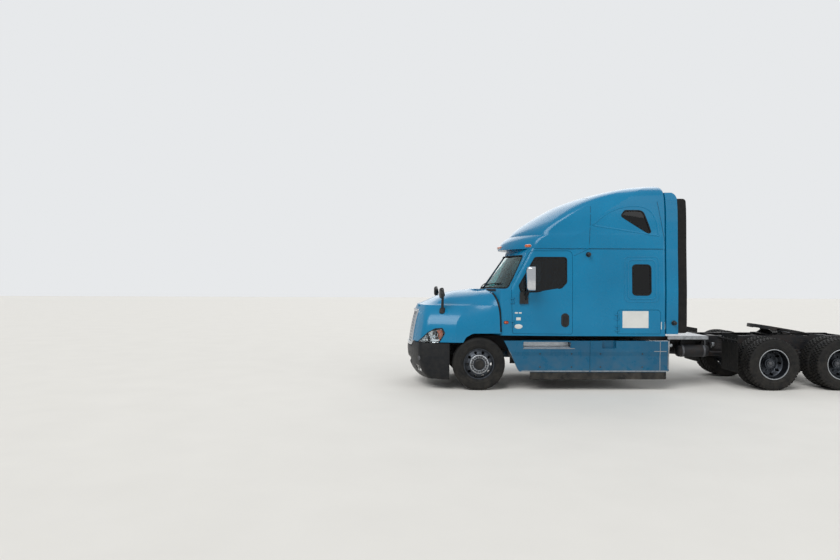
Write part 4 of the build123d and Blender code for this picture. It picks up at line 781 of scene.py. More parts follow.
def build_glazing_trim():
    """Rubber round the windows, and the embossed frames on the sleeper."""
    front = Skin("cab_front", "windows")
    rubber = Form().trim(lambda y, z: front.ahead(-y, z), rounded(*PANE), bead(30, 5), 45)
    pair("windshield_rubber", rubber, SEAL)
    side = Skin("cab_side_left", "rear_wall", "roof", "windows").left
    rubber = Form()
    for window in (LOWER_WINDOW, UPPER_WINDOW):
        rubber.trim(side, rounded(*window), bead(26, 6))
    pair("sleeper_window_rubber", rubber, SEAL)
    door = Skin("door_left", "door_glass_left").left
    pair("door_window_rubber", Form().trim(door, rounded(*DOOR_WINDOW), bead(22, 5)), SEAL, "door_{}")
    frames = Form()
    for x0, x1, z0, z1, radius, section in (
        (2757, 3419, 1683, 2545, 90, bead(18, 5)),
        (2820, 3352, 1740, 2480, 80, bead(26, 7)),
    ):
        frames.trim(side, rounded([(x0, z0), (x1, z0), (x1, z1), (x0, z1)], radius), section)
    # the crease runs back to its start below the upper window
    frames.strip([side(x, z) for x, z in dense(smooth(CREASE), 40)], bead(34, 6))
    pair("sleeper_embossing", frames, PAINT)


def build_seams():
    """The seams between moulded panels, as thin dark joints."""
    roof = Skin("roof")
    seam = flat_strip(7, 0.8)
    foot_x, foot_z, bow, reach, steps = 2081, 2700, 70, 2200, 48
    arch = []
    for i in range(steps + 1):
        turn = math.radians(-2 + 184 * i / steps)
        way = Vector((0, math.cos(turn), -math.sin(turn)))
        x = foot_x + bow * math.sin(max(0, min(math.pi, turn)))
        arch.append(roof.ray(Vector((x, 0, foot_z)) - way * reach, way))
    piece("roof_joint", Form().strip(arch, seam), SEAL)
    side = Skin("cab_front", "cab_side_left", "rear_wall", "roof").left
    back = Skin("cab_side_left", "rear_wall", "roof", "side_extenders").left
    joints = Form().trim(side, [(1860, 2692), (3545, 2692)], seam, 60, False)
    joints.trim(back, [(3395, 3600), (3555, 2691), (3543, 1090)], seam, 60, False)
    pair("sleeper_joints", joints, SEAL)
    # the drip's path runs back too, and leaves a short bead behind the door
    drip = [side(x, z) for x, z in dense(smooth(DRIP), 40)]
    pair("drip_moulding", Form().strip(drip, bead(20, 9)), PAINT)


def build_lamps():
    """Marker lamps on the roof, the cowls and the extenders, with their bases."""
    roof = Skin("roof")
    amber, base = Form(), Form()
    for y in (-1010, -170, 0, 170, 1010):
        place = on_surface(roof.ahead(y, 2745))
        base.prism(oblong(150, 62, 30), place, -4, 6, 3)
        amber.prism(oblong(134, 48, 23), place, 4, 26, 9)
    piece("roof_lamps", amber, AMBER)
    piece("roof_lamp_bases", base, CHROME)
    side = Skin("cab_front", "cab_side_left", "side_extenders")
    place = on_surface(side.left(521, 1283))
    lens_place = axes(place(12, 0, 2), place(1, 0) - place(0, 0), (0, 0, 1))
    base = Form().prism(oblong(96, 62, 28), place, -2, 4)
    for x, z in ((2068, 2579), (3700, 1288)):
        profile = [(48, -2), (48, 8), (42, 14), (30, 30), (24, 60), (34, 66), (34, 84), (28, 88)]
        base.lathe(profile, on_surface(side.left(x, z)), 28)
    pair("side_lamps", Form().prism(oblong(80, 46, 22), place, 2, 14, 5), AMBER)
    pair("side_lamp_lenses", Form().prism(oblong(30, 44, 14), lens_place, 8, 15, 3), RED)
    pair("side_lamp_bases", base, BLACK_SMOOTH)


def build_door_trim():
    """Door handles, and blank shapes where stickers and signs were."""
    door = Skin("door_left").left
    place = on_surface(door(1628, 1334))
    grip = Form().prism(rounded([(-34, -96), (30, -96), (44, 92), (-26, 100)], 26), place, 8, 26, 8)
    grip.lathe([(13, 8), (13, 12), (9, 13)], axes(place(-40, -98, 0), (1, 0, 0), (0, 0, 1)), 20)
    pair("door_handle_bezel", Form().prism(oblong(150, 262, 74, 8), place, -2, 9, 4), BLACK_SMOOTH, "door_{}")
    pair("door_handle", grip, BLACK, "door_{}")
    marks = Form()
    for shape, spot in (
        (oblong(60, 26, 4), (712, 1466)),
        (oblong(52, 26, 4), (786, 1466)),
        (oblong(84, 56, 4), (752, 1352)),
        ([(u * 76, v * 44) for u, v in circle(1, 28)], (752, 1208)),
    ):
        marks.raised(door, shape, spot, 1.2)
    piece("door_decals", marks, WHITE, "door_left")
    sign = Form().raised(Skin("luggage_door_left").left, oblong(497, 321, 6), (2966, 1351), 2)
    piece("blank_sign", sign, WHITE, "luggage_door_left")
    label = Form().raised(Skin("cab_side_left", "rear_wall").left, oblong(80, 140, 5), (3494, 1235), 1.5)
    piece("blank_label", label, WHITE)


def build_mirrors():
    """Bright shells over the mirrors' backs, and their glass."""
    x, y, z, deep = 940, -1390, 2116, 75
    levels = ((0, -62), (0, 50), (10, 72), (30, 84), (60, 88))
    shell = Form().levels(oblong(214, 446, 48, 6), facing_ahead(x, y, z), levels)
    pair("mirror_shells", shell, CHROME, "door_{}")
    rear = facing_back(x + deep, y, z)
    glass = Form()
    for rise, tall in ((62, 270), (-146, 110)):
        glass.prism(moved(oblong(176, tall, 26), 0, rise), rear, 0, 4, 1)
    pair("mirror_glass", glass, MIRROR, "door_{}")
    pair("mirror_rims", Form().prism(oblong(206, 436, 44), rear, -2, 1.5, 1), BLACK, "door_{}")


# Hood and bumper

def headlight_backing(lens, outline, centre):
    """A bowl behind the lens, from its rim inwards to its middle."""
    rings = []
    for share, deep in ((1, 26), (0.97, 50), (0.9, 74), (0.6, 84), (0.25, 88)):
        ring = []
        for p in outline:
            near = min(share, 0.97)
            spot, normal = lens.left(*centre.lerp(p, near)) or lens.left(*centre.lerp(p, 0.9))
            x, z = centre.lerp(p, share)
            ring.append(Vector((x, spot.y, z)) - Vector((normal.x * 0.3, normal.y, 0)).normalized() * deep)
        rings.append(ring)
    hub = sum(rings[-1], Vector()) / len(outline)
    return Form().skin(rings, caps=False).skin([rings[-1], [hub] * len(outline)], caps=False)


def build_headlights():
    """Bowls, a backing and an amber turn lamp behind each clear lens."""
    lens = Skin("headlights")
    outline = [Vector(p) for p in shrunk(rounded(*HEADLIGHT), 8)]
    centre = sum(outline, Vector((0, 0))) / len(outline)
    pair("headlight_backing", headlight_backing(lens, outline, centre), REFLECTOR, "hood")
    bowls, bezels, bulbs = Form(), Form(), Form()
    depth, turn_ahead = 34, Vector((-0.9, 0, 0))
    for x, z, r in ((-985, 985, 62), (-835, 1040, 72)):
        point, normal = lens.left(x, z)
        way = (normal + turn_ahead).normalized()
        place = axes(point - normal * depth, Vector((0, 0, 1)).cross(way), (0, 0, 1))
        for form, steps, loop, profile in (
            (bowls, 36, False,
             ((1, 0), (1.06, -4), (1.02, 4), (0.96, -2), (0.8, -26), (0.5, -42), (0.2, -48))),
            (bezels, 36, True, ((1.02, 5), (1.12, 6), (1.16, -6), (1.06, -6))),
            (bulbs, 24, False, ((0.42, -30), (0.42, -10), (0.3, 2), (0.1, 6))),
        ):
            form.lathe([(r * share, out) for share, out in profile], place, steps, loop)
    hits = [lens.left(x, z) for x, z in TURN_LAMP]
    amber = Form().skin([[p - n * deep for p, n in hits] for deep in (50, 30)])
    pair("headlight_bowls", bowls, REFLECTOR, "hood")
    pair("headlight_bezels", bezels, BLACK_SMOOTH, "hood")
    pair("headlight_bulbs", bulbs, LENS_CLEAR, "hood")
    pair("headlight_turn_lamps", amber, AMBER, "hood")
    seal = Form().trim(Skin("hood", "headlights").left, rounded(*HEADLIGHT), bead(16, 4), 30)
    pair("headlight_seals", seal, SEAL, "hood")


def build_hood_trim():
    """The bright surround of the grille, a black strip along the hood's rear edge that paints the shade in
    the gap to the cab, and its mirrors' backs.
    """
    front = Skin("hood", "grille")
    mouth = shrunk(dense(rounded(*GRILLE_MOUTH, 8), 40), 14)
    surround = Form().strip([front.ahead(y, z) for y, z in mouth], bead(50, 14), loop=True)
    piece("grille_surround", surround, CHROME, "hood")
    hood = Skin("hood")
    # a black strip just in front of the hood's rear edge: painted shade for the gap between hood and cab
    edge = []
    gap_shade_half = 18
    for z in range(1105, 1870, 30):
        rear = next((x for x in range(470, 150, -4) if hood.left(x, z)), None)
        if rear:
            edge.append(hood.left(rear - gap_shade_half, z))
    pair("hood_rear_gap_shade", Form().strip(edge, flat_strip(34, 3)), SEAL, "hood")
    foot, head = Vector((-686, -920, 1440)), Vector((-686, -1070, 1835))
    turn = math.radians(20)
    place = axes(head, (math.sin(turn), -math.cos(turn), 0), (0, 0, 1))
    shell = Form().levels(oblong(150, 210, 60, 6), place, ((0, 8), (0, 30), (10, 46), (30, 56), (46, 58)))
    rings = []
    for share, along, across in (
        (0.02, 44, 26), (0.1, 38, 24), (0.3, 28, 18), (0.6, 24, 15), (0.85, 26, 16), (0.97, 30, 20),
    ):
        spot = foot.lerp(head, share)
        rings.append([spot + Vector((u * along, v * across, 0)) for u, v in circle(1, 20)])
    pod = on_surface(hood.ray(head, foot - head))
    shell.skin(rings).prism(moved(oblong(104, 150, 44, 6), 0, -24), pod, -24, 26, 14)
    pair("hood_mirror_shells", shell, BLACK_SMOOTH, "hood")


def build_bumper_trim():
    """Fog lamp rings and bowls, tow hook caps and the plugs on the bumper's corners."""
    front = Skin("bumper", "fog_lamps").ahead
    y, z = -850, 390
    rings = Form().trim(front, moved(oblong(236, 126, 44, 6), y, z), bead(14, 6), 30)
    pair("fog_lamp_rings", rings, BLACK_SMOOTH)
    pair("tow_hook_caps", Form().prism(oblong(90, 60, 14), on_surface(front(-300, 640)), -2, 5, 3), BLACK)
    corner = on_surface(Skin("bumper").left(-1130, 595))
    pair("bumper_plugs", Form().lathe([(44, -4), (44, 4), (38, 9), (32, 5), (8, 7)], corner, 32), STEEL)
    bowl = Form().lathe([(42, -14), (44, -11), (36, -18), (24, -34), (10, -40)], on_surface(front(y, z)), 32)
    pair("fog_lamp_bowls", bowl, STEEL)


# Chassis fairings

def build_fairing_trim():
    """Bright strips along and behind the fairings, and their latches."""
    look = Skin("fairing_left").left
    bright, dark = Form(), Form()
    for start, end, section, step in (
        ((800, 372), (2090, 372), flat_strip(20, 4), 60),
        ((2110, 372), (3590, 372), flat_strip(20, 4), 60),
        ((826, 800), (1810, 800), flat_strip(14, 4), 60),
        ((3438, 380), (3438, 930), flat_strip(12, 3), 40),
        ((3320, 748), (3560, 748), flat_strip(12, 3), 40),
        ((3600, 368), (3600, 938), bead(26, 8), 40),
    ):
        bright.trim(look, [start, end], section, step, False)
    for x, z in product((1150, 1750, 2300, 3100), (700, 450)):
        dark.lathe([(15, -1), (15, 2), (11, 4), (4, 4)], on_surface(look(x, z)), 18)
    pair("fairing_strips", bright, ALUMINIUM)
    pair("fairing_latches", dark, BLACK_SMOOTH)


# Frame, deck and coupling

def build_tread_plate():
    """Raised diamonds on the deck, and studs on the cab steps."""
    diamonds = Form()
    (x0, x1), (y0, y1), top = DECK
    pitch, long, short, rise, rim = 34, 13, 4.5, 2.2, 40
    for i, j in product(range(int((x1 - x0 - rim) / pitch)), range(int((y1 - y0 - rim) / pitch))):
        x, y = x0 + pitch * (i + 1), y0 + pitch * (j + 1)
        a, b = (long, short) if (i + j) % 2 else (short, long)
        foot = [(u, v, top - 0.2) for u, v in ((x - a, y), (x, y - b), (x + a, y), (x, y + b))]
        diamonds.add(foot + [(x, y, top + rise)], [(k, (k + 1) % 4, 4) for k in range(4)])
    piece("deck_tread", diamonds, ALUMINIUM)
    plate, studs = Form(), Form()
    back = Skin("fairing_left").left(1282, 880)[0].y - 14
    plate.box((838, 1728), (back, back + 12), (824, 916), 3)
    plate.box((838, 1728), (-1206, back), (816, 822), 2)
    for x in range(852, 1732, 20):
        places = [facing_left(x, back, z) for z in (842, 870, 898)]
        places += [facing_up(x, y, 822) for y in range(-1190, -1022, 28)]
        for place in places:
            studs.lathe([(5, 0), (5, 2), (3, 3)], place, 8)
    pair("step_plates", plate, STEP_METAL)
    pair("step_studs", studs, STEP_METAL)


def build_frame_fittings():
    """Bolts through the rails, brackets, air tanks with their bands, valves, and the deck's edges."""
    bolts, brackets, tank, bands, edge = Form(), Form(), Form(), Form(), Form()
    for starts, steps, heights, across, height in (
        (CROSSMEMBERS, (-36, 36), (862, 906, 946), 19, 9),
        ((FORE_AXLE, AFT_AXLE), (-700, -640, -580, -520, 280, 340, 400), (745, 800, 850), 19, 9),
        (range(300, 4800, 300), (0,), (955,), 16, 8),
    ):
        for x, dx, z in product(starts, steps, heights):
            bolts.bolt(facing_left(x + dx, -RAIL_OUT, z), across, height)
    x0, x1, y, z, r = 3960, 4640, -620, 700, 118
    half = [(20, 6), (r * 0.55, 14), (r * 0.85, 34), (r, 70)]
    tank.lathe(half + [(radius, x1 - x0 - out) for radius, out in reversed(half)], facing_back(x0, y, z), 40)
    for x in (x0 + 130, x1 - 130):
        bands.lathe([(r, 0), (r + 4, 1), (r + 4, 39), (r, 40)], facing_back(x - 20, y, z), 40, loop=True)
        arm = facing_back(x - 6, -RAIL_OUT - 92, z + 30)
        brackets.prism([(-90, -60), (60, -60), (70, 120), (-90, 190)], arm, 0, 12, 2)
        brackets.box((x - 30, x + 30), (-RAIL_OUT - 12, -RAIL_OUT - 0.5), (745, 900), 3)
    pair("air_tanks", tank, FRAME_BLACK)
    pair("tank_bands", bands, STEEL)
    for x, z in ((3900, 800), (4760, 820)):
        brackets.box((x - 50, x + 50), (-RAIL_OUT - 90, -RAIL_OUT - 0.5), (z - 40, z + 40), 8)
        outlet = axes((x, -RAIL_OUT - 50, z - 40), (0, 1, 0), (1, 0, 0))
        profile = [(38, 0), (40, 8), (40, 44), (30, 60), (12, 64)]
        valve = Form().lathe(profile, facing_left(x, -RAIL_OUT - 90, z), 28)
        pair(f"valve_{x}", valve.lathe([(14, 0), (14, 26), (10, 30)], outlet, 12), ALUMINIUM)
    pair("frame_bolts", bolts, FRAME_BLACK)
    pair("frame_brackets", brackets, FRAME_BLACK)
    (x0, x1), (y0, _), top = DECK
    edge.box((x0, x1), (y0 - 5, y0 + 3), (925, top + 4), 2)
    for x in (3850, 4560):
        edge.prism([(0, 0), (70, 0), (0, -200)], facing_back(x, y0 + 30, 925), 0, 8, 1)
    pair("deck_edges", edge, ALUMINIUM)


def build_fenders():
    """Ribs and bolts on the flaps before and behind the drive wheels."""
    ribs, bolts = Form(), Form()
    for x, (y0, y1), (z0, z1), arm in FLAPS:
        rib = rounded([(-7, z0 + 30), (7, z0 + 30), (7, arm - 50), (-7, arm - 50)], 6)
        for i in range(9):
            y = -y0 - 40 - i * (y1 - y0 - 80) / 8
            for face in (facing_back(x + FLAP_HALF, y, 0), facing_ahead(x - FLAP_HALF, y, 0)):
                ribs.prism(rib, face, -1, 4, 2)
        for i, z in product(range(4), (arm - 34, arm + 34)):
            y = -y0 - 90 - i * (y1 - y0 - 180) / 3
            if z < z1 - 8:
                bolts.bolt(facing_back(x + FLAP_HALF, y, z), 16, 9)
                bolts.bolt(facing_ahead(x - FLAP_HALF, y, z), 16, 9)
    pair("flap_ribs", ribs, SEAL)
    pair("flap_bolts", bolts, STEEL)


def build_rear():
    """Tail lamps, a blank plate, the work lamp, the air connections and grab rails on the cab's back."""
    rims, red = Form(), Form()
    for y in (-352, -228):
        face = facing_back(FRAME_END, y, TAIL_LAMPS)
        rims.lathe([(62, 0), (62, 6), (55, 12), (50, 12), (50, 2)], face, 36)
        red.lathe([(50, 2), (50, 14), (40, 18), (10, 20)], face, 36)
    pair("tail_lamps", red, RED)
    pair("tail_lamp_rims", rims, BLACK)
    face = facing_back(FRAME_END, 0, TAIL_LAMPS)
    holder = Form().prism(oblong(310, 142, 12), face, 0, 2, 0.8)
    for u in (-120, 120):
        holder.bolt(shifted(face, u, 54, 4), 9, 4)
    piece("blank_plate", Form().prism(oblong(296, 136, 10), face, 1.5, 4, 0.8), WHITE)
    piece("plate_holder", holder, STEEL)
    wall, ribs = Skin("rear_wall"), Form()
    for y in (-900, -600, -300):
        ribs.strip([wall.back(y, z, BEHIND) for z in range(1250, 2560, 60)], bead(60, 8))
    pair("rear_wall_ribs", ribs, PAINT)
    place = on_surface(wall.back(0, 2420, BEHIND))
    piece("work_lamp", Form().prism(oblong(170, 110, 20), place, 0, 60, 6), BLACK_SMOOTH)
    piece("work_lamp_lens", Form().prism(oblong(150, 90, 14), place, 60, 66, 2), LENS_CLEAR)
    base = on_surface(wall.back(-250, 1250, BEHIND))
    hands = Form().prism(oblong(340, 130, 16), base, 0, 8, 2)
    for u in (-110, 0, 110):
        profile = [(34, 0), (34, 10), (26, 14), (26, 40), (38, 44), (38, 56), (30, 60)]
        hands.lathe(profile, shifted(base, u, 0, 8), 24)
    piece("air_connections", hands, ALUMINIUM)
    y, height = -1080, 1600
    half = [(3562, 350), (3600, 338), (3622, 300)]
    path = [(x, y, height - v) for x, v in half] + [(x, y, height + v) for x, v in reversed(half)]
    pair("grab_rails", Form().tube(smooth(path, 4), 14, 14), ALUMINIUM)


def build_fifth_wheel():
    """Grease grooves, lock and release handle of the coupling plate."""
    plate = axes(FIFTH_PIVOT, (math.cos(FIFTH_TILT), 0, -math.sin(FIFTH_TILT)), (0, 1, 0))
    out = plate(0, 0, 1) - plate(0, 0, 0)
    grooves, lock, handle = Form(), Form(), Form()
    for radius in (150, 260, 370):
        arc = []
        for i in range(33):
            turn = math.radians(60 + 240 * i / 32)
            arc.append((plate(radius * math.cos(turn), radius * math.sin(turn), FIFTH_TOP), out))
        grooves.strip(arc, flat_strip(10, 0.7))
    for side in (-1, 1):
        jaw = rounded([(-46, side * 20), (60, side * 30), (60, side * 70), (-40, side * 66)][::side], 10)
        lock.prism(jaw, plate, 18, 46, 3)
    for path, per_span in (
        (((-120, -120, 20), (-120, -380, 16), (-110, -520, 12), (-90, -640, 10)), 5),
        (((-90, -640, 10), (-70, -660, 10), (-40, -650, 10), (-40, -620, 10)), 4),
    ):
        handle.tube(smooth([plate(*p) for p in path], per_span), 9, 12)
    piece("fifth_wheel_grooves", grooves, FRAME_BLACK, "fifth_wheel")
    piece("fifth_wheel_lock", lock, STEEL, "fifth_wheel")
    piece("fifth_wheel_handle", handle, STEEL, "fifth_wheel")


def build_wipers():
    """A wiper on each pane, with the black cowl strip at its foot."""
    front = Skin("windows", "cab_front")

    def over(y, z, out):
        """The point so far off the glass."""
        point, normal = front.ahead(-y, z)
        return point + normal * out

    blade, arm = Form(), Form()
    foot, slope = 1979, 0.05
    for start, end, out, radius in ((140, 860, 16, 7), (180, 820, 26, 5)):
        blade.tube([over(y, foot + y * slope, out) for y in range(start, end, 60)], radius, 6)
    path = ((140, 1925, 20), (200, 1940, 34), (340, 1970, 36), (500, 2003, 30))
    arm.tube([over(*p) for p in path], [13, 11, 9, 6], 8)
    arm.lathe([(24, -6), (24, 20), (16, 28)], on_surface(front.ahead(-140, 1922)), 20)
    cowl = Form().strip([front.ahead(-y, 1892) for y in range(30, 960, 50)], bead(46, 3))
    pair("cowl_strips", cowl, BLACK)
    pair("wiper_arms", arm, BLACK)
    pair("wiper_blades", blade, SEAL)


def build_engine_dress():
    """Radiator core, fan shroud, covers and pipes that show with the hood open."""
    core, covers, pipes, pulleys = Form(), Form(), Form(), Form()
    fins, foot, pitch = 44, 1000, 10.4
    for i in range(fins):
        z = foot + i * pitch
        core.box((-1086, -1081), (-440, 440), (z, z + 3), 0.5)
    piece("radiator_fins", core, ALUMINIUM)
    shroud = [(380, 0), (360, 20), (330, 26), (330, 60), (322, 60), (322, 22), (330, 2)]
    covers.lathe(shroud, facing_back(-1000, 0, 1220), 48, loop=True)
    covers.prism(oblong(800, 300, 40), facing_up(-380, 0, 1560), 0, 80, 16)
    for x in range(-700, 0, 120):
        covers.prism(oblong(60, 260, 16), facing_up(x, 0, 1640), -2, 10, 5)
    for x, y in product(range(-760, 60, 136), (-140, 140)):
        covers.bolt(facing_up(x, y, 1640), 16, 9)
    covers.prism(oblong(700, 220, 20), facing_left(-380, -330, 1300), 0, 60, 12)
    covers.lathe([(150, 0), (160, 20), (160, 380), (150, 400), (60, 410)], facing_back(-250, 520, 1380), 36)
    piece("engine_covers", covers, CAST)
    for path, radius in (
        (((-985, -300, 1400), (-900, -380, 1440), (-700, -420, 1460), (-400, -430, 1470), (-200, -390, 1460),
          (-120, -330, 1450)), 42),
        (((-985, 300, 1120), (-900, 360, 1100), (-750, 380, 1060), (-600, 340, 1040)), 38),
    ):
        pipes.tube(smooth(path, 5), radius, 16)
    piece("charge_pipes", pipes, ALUMINIUM)
    face = facing_ahead(-870, -250, 1080)
    for u, v, r in ((0, 0, 60), (150, 180, 90), (-250, 60, 110), (250, -160, 100)):
        profile = [(20, 0), (r, 2), (r, 8), (r - 8, 14), (r - 8, 20), (r, 26), (r, 32), (20, 36)]
        pulleys.lathe(profile, shifted(face, u, v, 0), 32)
    piece("pulleys", pulleys, STEEL)


# Inside the cab

SEAT_MIDDLE = 560
DASH_FRONT = 1600  # behind the dashboard's face, where rays to it start
DOOR_INSIDE = 700  # inside the doors, where rays to them start
CLOTH_FRAMES = 20
CLOTH_PRESSURE = 4


def as_mesh(thing):
    """A new mesh of the object with its modifiers applied."""
    graph = bpy.context.evaluated_depsgraph_get()
    return bpy.data.meshes.new_from_object(thing.evaluated_get(graph))


def swell(pad, cap):
    """Blow the pad up as cloth, no point further than cap from its start."""
    start = [v.co.copy() for v in pad.data.vertices]
    cloth = pad.modifiers.new("cloth", "CLOTH")
    cloth.settings.use_pressure = True
    cloth.settings.uniform_pressure_force = CLOTH_PRESSURE
    cloth.settings.effector_weights.gravity = 0
    cloth.settings.quality = 4
    cloth.point_cache.frame_start = 1
    cloth.point_cache.frame_end = CLOTH_FRAMES
    for number in range(1, CLOTH_FRAMES + 1):
        bpy.context.scene.frame_set(number)
    swollen = as_mesh(pad)
    pad.modifiers.clear()
    pad.data = swollen
    for vertex, home in zip(swollen.vertices, start):
        move = vertex.co - home
        if move.length > cap * MM:
            vertex.co = home + move.normalized() * cap * MM
    bpy.context.scene.frame_set(1)


def puffed(size, frame, low, high, bevel, voxel, cap):
    """The mesh of a rounded (wide, tall, radius) pad from low to high, remeshed and swollen."""
    pad = placed("pad", Form().prism(oblong(*size, 5), frame, low, high, bevel).mesh("pad"))
    remesh = pad.modifiers.new("remesh", "REMESH")
    remesh.mode = "VOXEL"
    remesh.voxel_size = voxel * MM
    pad.data = as_mesh(pad)
    pad.modifiers.clear()
    swell(pad, cap)
    subdivision = pad.modifiers.new("subdivision", "SUBSURF")
    subdivision.levels = subdivision.render_levels = 1
    result = as_mesh(pad)
    bpy.data.objects.remove(pad)
    return result


def sewn(mesh, frame, across, along, depth=7, width=9):
    """Press sewn channels at u in across and v in along into the side that faces out of the frame."""
    origin = frame(0, 0)
    u, v, w = (frame(*way) - origin for way in ((1, 0, 0), (0, 1, 0), (0, 0, 1)))
    pushes = []
    for vertex in mesh.vertices:
        spot = (vertex.co - at(0, 0, 0)) / MM - origin
        a, b = spot.dot(u), spot.dot(v)
        gaps = [a - place for place in across] + [b - place for place in along]
        dip = max(math.exp(-(gap / width) ** 2) for gap in gaps)
        pushes.append(dip * depth * max(0, vertex.normal.dot(w)) ** 0.5)
    for vertex, push in zip(mesh.vertices, pushes):
        vertex.co -= w * push * MM


def padded(name, mesh, finish, fill, node=None):
    """A padded piece, which may replace a node."""
    thing = dressed(name, mesh, finish)
    if node:
        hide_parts(node)


def padded_pair(name, mesh, finish, fill, node=None):
    """A padded piece from its mesh on the left, and its twin on the right."""
    twin = mesh.copy()
    twin.transform(Matrix.Scale(-1, 4, (0, 1, 0)))
    twin.flip_normals()
    padded(f"{name}_left", mesh, finish, fill, node)
    padded(f"{name}_right", twin, finish, fill, node)


def build_seats():
    """Air-ride seats: sewn cushions, backs and head rests on a bellows base, with piping and armrests."""
    y = -SEAT_MIDDLE
    lean = Vector((80, 0, 620)).normalized()
    top = facing_up(1495, y, 1450)
    front = axes((1800, y, 1815), (0, -1, 0), lean)
    head = axes((1850, y, 2220), (0, -1, 0), lean)
    # size is wide, tall and corner; half is half the thickness; the sewn channels run across and along
    for name, size, frame, half, bevel, voxel, cap, across, along, finish, fill, node in (
        ("seat_cushion", (480, 470, 70), top, 52, 30, 12, 24,
         (-110, 0, 110), (-150, 150), FABRIC, 0.6, "seats"),
        ("seat_back", (440, 590, 90), front, 42, 28, 12, 24,
         (-140, 140), (-190, -60, 70, 200), FABRIC, 0.6, None),
        ("head_rest", (220, 180, 60), head, 34, 24, 9, 16,
         (), (0,), VINYL, 0.7, None),
    ):
        mesh = puffed(size, frame, -half, half, bevel, voxel, cap)
        sewn(mesh, frame, across, along)
        padded_pair(name, mesh, finish, fill, node)
    base, piping, arms = Form(), Form(), Form()
    for i in range(6):
        z, fold = 1150 + i * 36, 18 * (i % 2)
        base.prism(oblong(330 - fold, 340 - fold, 40), facing_up(1500, y, 0), z, z + 34, 8)
    base.box((1300, 1700), (y - 200, y + 200), (1096, 1140), 8)
    base.prism(oblong(490, 480, 60), facing_up(1495, y, 0), 1366, 1396, 8)
    pair("seat_bases", base, INTERIOR_DARK)
    cushion, rest = oblong(500, 492, 74, 6), oblong(462, 612, 94, 6)
    for outline, frame, level in ((cushion, top, -20), (cushion, top, 22), (rest, front, 16)):
        piping.tube([frame(u, v, level) for u, v in dense(outline, 40)], 4, 6, loop=True)
    pair("seat_piping", piping, VINYL)
    for dy in (-262, 262):
        arms.prism(oblong(330, 56, 26), facing_up(1640, y + dy, 1700), -20, 22, 12)
        arms.tube([(1790, y + dy * 0.92, 1690), (1800, y + dy * 0.88, 1640)], 16, 10)
    pair("seat_arms", arms, VINYL)


def build_bed():
    """The sleeper's mattress, quilted, with its piping."""
    top = facing_up(3107, 0, 1680)
    mesh = puffed((748, 2180, 70), top, -62, 44, 26, 24, 22)
    sewn(mesh, top, range(-280, 281, 140), range(-1000, 1001, 200), 9, 16)
    padded("mattress_quilted", mesh, MATTRESS, 0.7, "mattress")
    piping = Form()
    for level in (-48, 34):
        piping.tube([top(u, v, level) for u, v in dense(oblong(762, 2196, 74, 6), 60)], 5, 6, loop=True)
    piece("mattress_piping", piping, VINYL)


def build_dash():
    """Gauges, vents, switches and the glovebox line on the dashboard."""
    dash = Skin("dashboard")

    def look(y, z):
        """Where the dashboard's face is at (y, z)."""
        return dash.back(y, z, DASH_FRONT)

    rims, faces, marks, vents, keys = Form(), Form(), Form(), Form(), Form()
    for y, z, r in ((-650, 1770, 62), (-480, 1770, 62), (-565, 1800, 30), (-565, 1730, 30), (-740, 1800, 28),
                    (-740, 1735, 28), (-390, 1800, 28), (-390, 1735, 28)):
        place = on_surface(look(y, z))
        rims.lathe([(r - 5, 2), (r - 4, 10), (r, 12), (r + 5, 6), (r + 6, -1)], place, 36)
        faces.lathe([(r - 4, 1), (r - 4, 3), (1, 3)], place, 32)
        tick = [(r - 16, -1.2), (r - 8, -1.2), (r - 8, 1.2), (r - 16, 1.2)]
        for i in range(13):
            marks.prism(turned(tick, -30 + 240 * i / 12), place, 3, 4, 0.1)
        needle = [(-8, -2), (r - 14, -0.6), (r - 14, 0.6), (-8, 2)]
        marks.prism(turned(needle, 160), place, 4.5, 6, 0.3)
    piece("gauge_rims", rims, CHROME)
    piece("gauge_faces", faces, BLACK_SMOOTH)
    piece("gauge_marks", marks, WHITE)
    for y in (-250, -120, 10, 500, 760):
        place = on_surface(look(y, 1790))
        vents.prism(oblong(104, 62, 12), place, -1, 8, 3)
        for v in range(-22, 23, 11):
            keys.prism(moved(oblong(88, 4, 1), 0, v), place, 8, 12, 0.8)
    for z, y in product((1700, 1655), range(-290, 83, 62)):
        keys.prism(oblong(44, 32, 5), on_surface(look(y, z)), -1, 7, 2)
    radio = on_surface(look(-80, 1600))
    keys.prism(oblong(190, 56, 6), radio, -1, 5, 2)
    for u in (-70, 70):
        keys.lathe([(12, 4), (12, 16), (9, 18)], shifted(radio, u, 0, 0), 20)
    piece("dash_vents", vents, INTERIOR_DARK)
    piece("dash_switches", keys, BLACK)
    lid = rounded([(330, 1560), (900, 1560), (900, 1720), (330, 1720)], 30)
    piece("glovebox_line", Form().trim(look, lid, bead(8, 3), 50), INTERIOR_DARK)


def build_steering_trim():
    """The wheel's pad and its column's stalks."""
    rake = math.radians(33)
    place = axes((1010, -SEAT_MIDDLE, 1830), (math.cos(rake), 0, -math.sin(rake)), (0, 1, 0))
    pad = Form().prism(oblong(150, 170, 50, 6), place, 18, 34, 8)
    piece("wheel_pad", pad, INTERIOR_DARK, "steering_wheel")
    keys, stalks = Form(), Form()
    for v in (-120, 120):
        keys.prism(moved(oblong(26, 60, 8), 0, v), place, 8, 14, 2)
    piece("wheel_keys", keys, BLACK, "steering_wheel")
    for side in (-1, 1):
        path = [place(10, side * 24, -90), place(0, side * 110, -78), place(0, side * 175, -66)]
        stalks.tube(path, [9, 7, 9], 12)
    stalks.lathe([(40, -150), (44, -140), (44, -70), (36, -62)], place, 28)
    piece("column_stalks", stalks, INTERIOR_DARK)


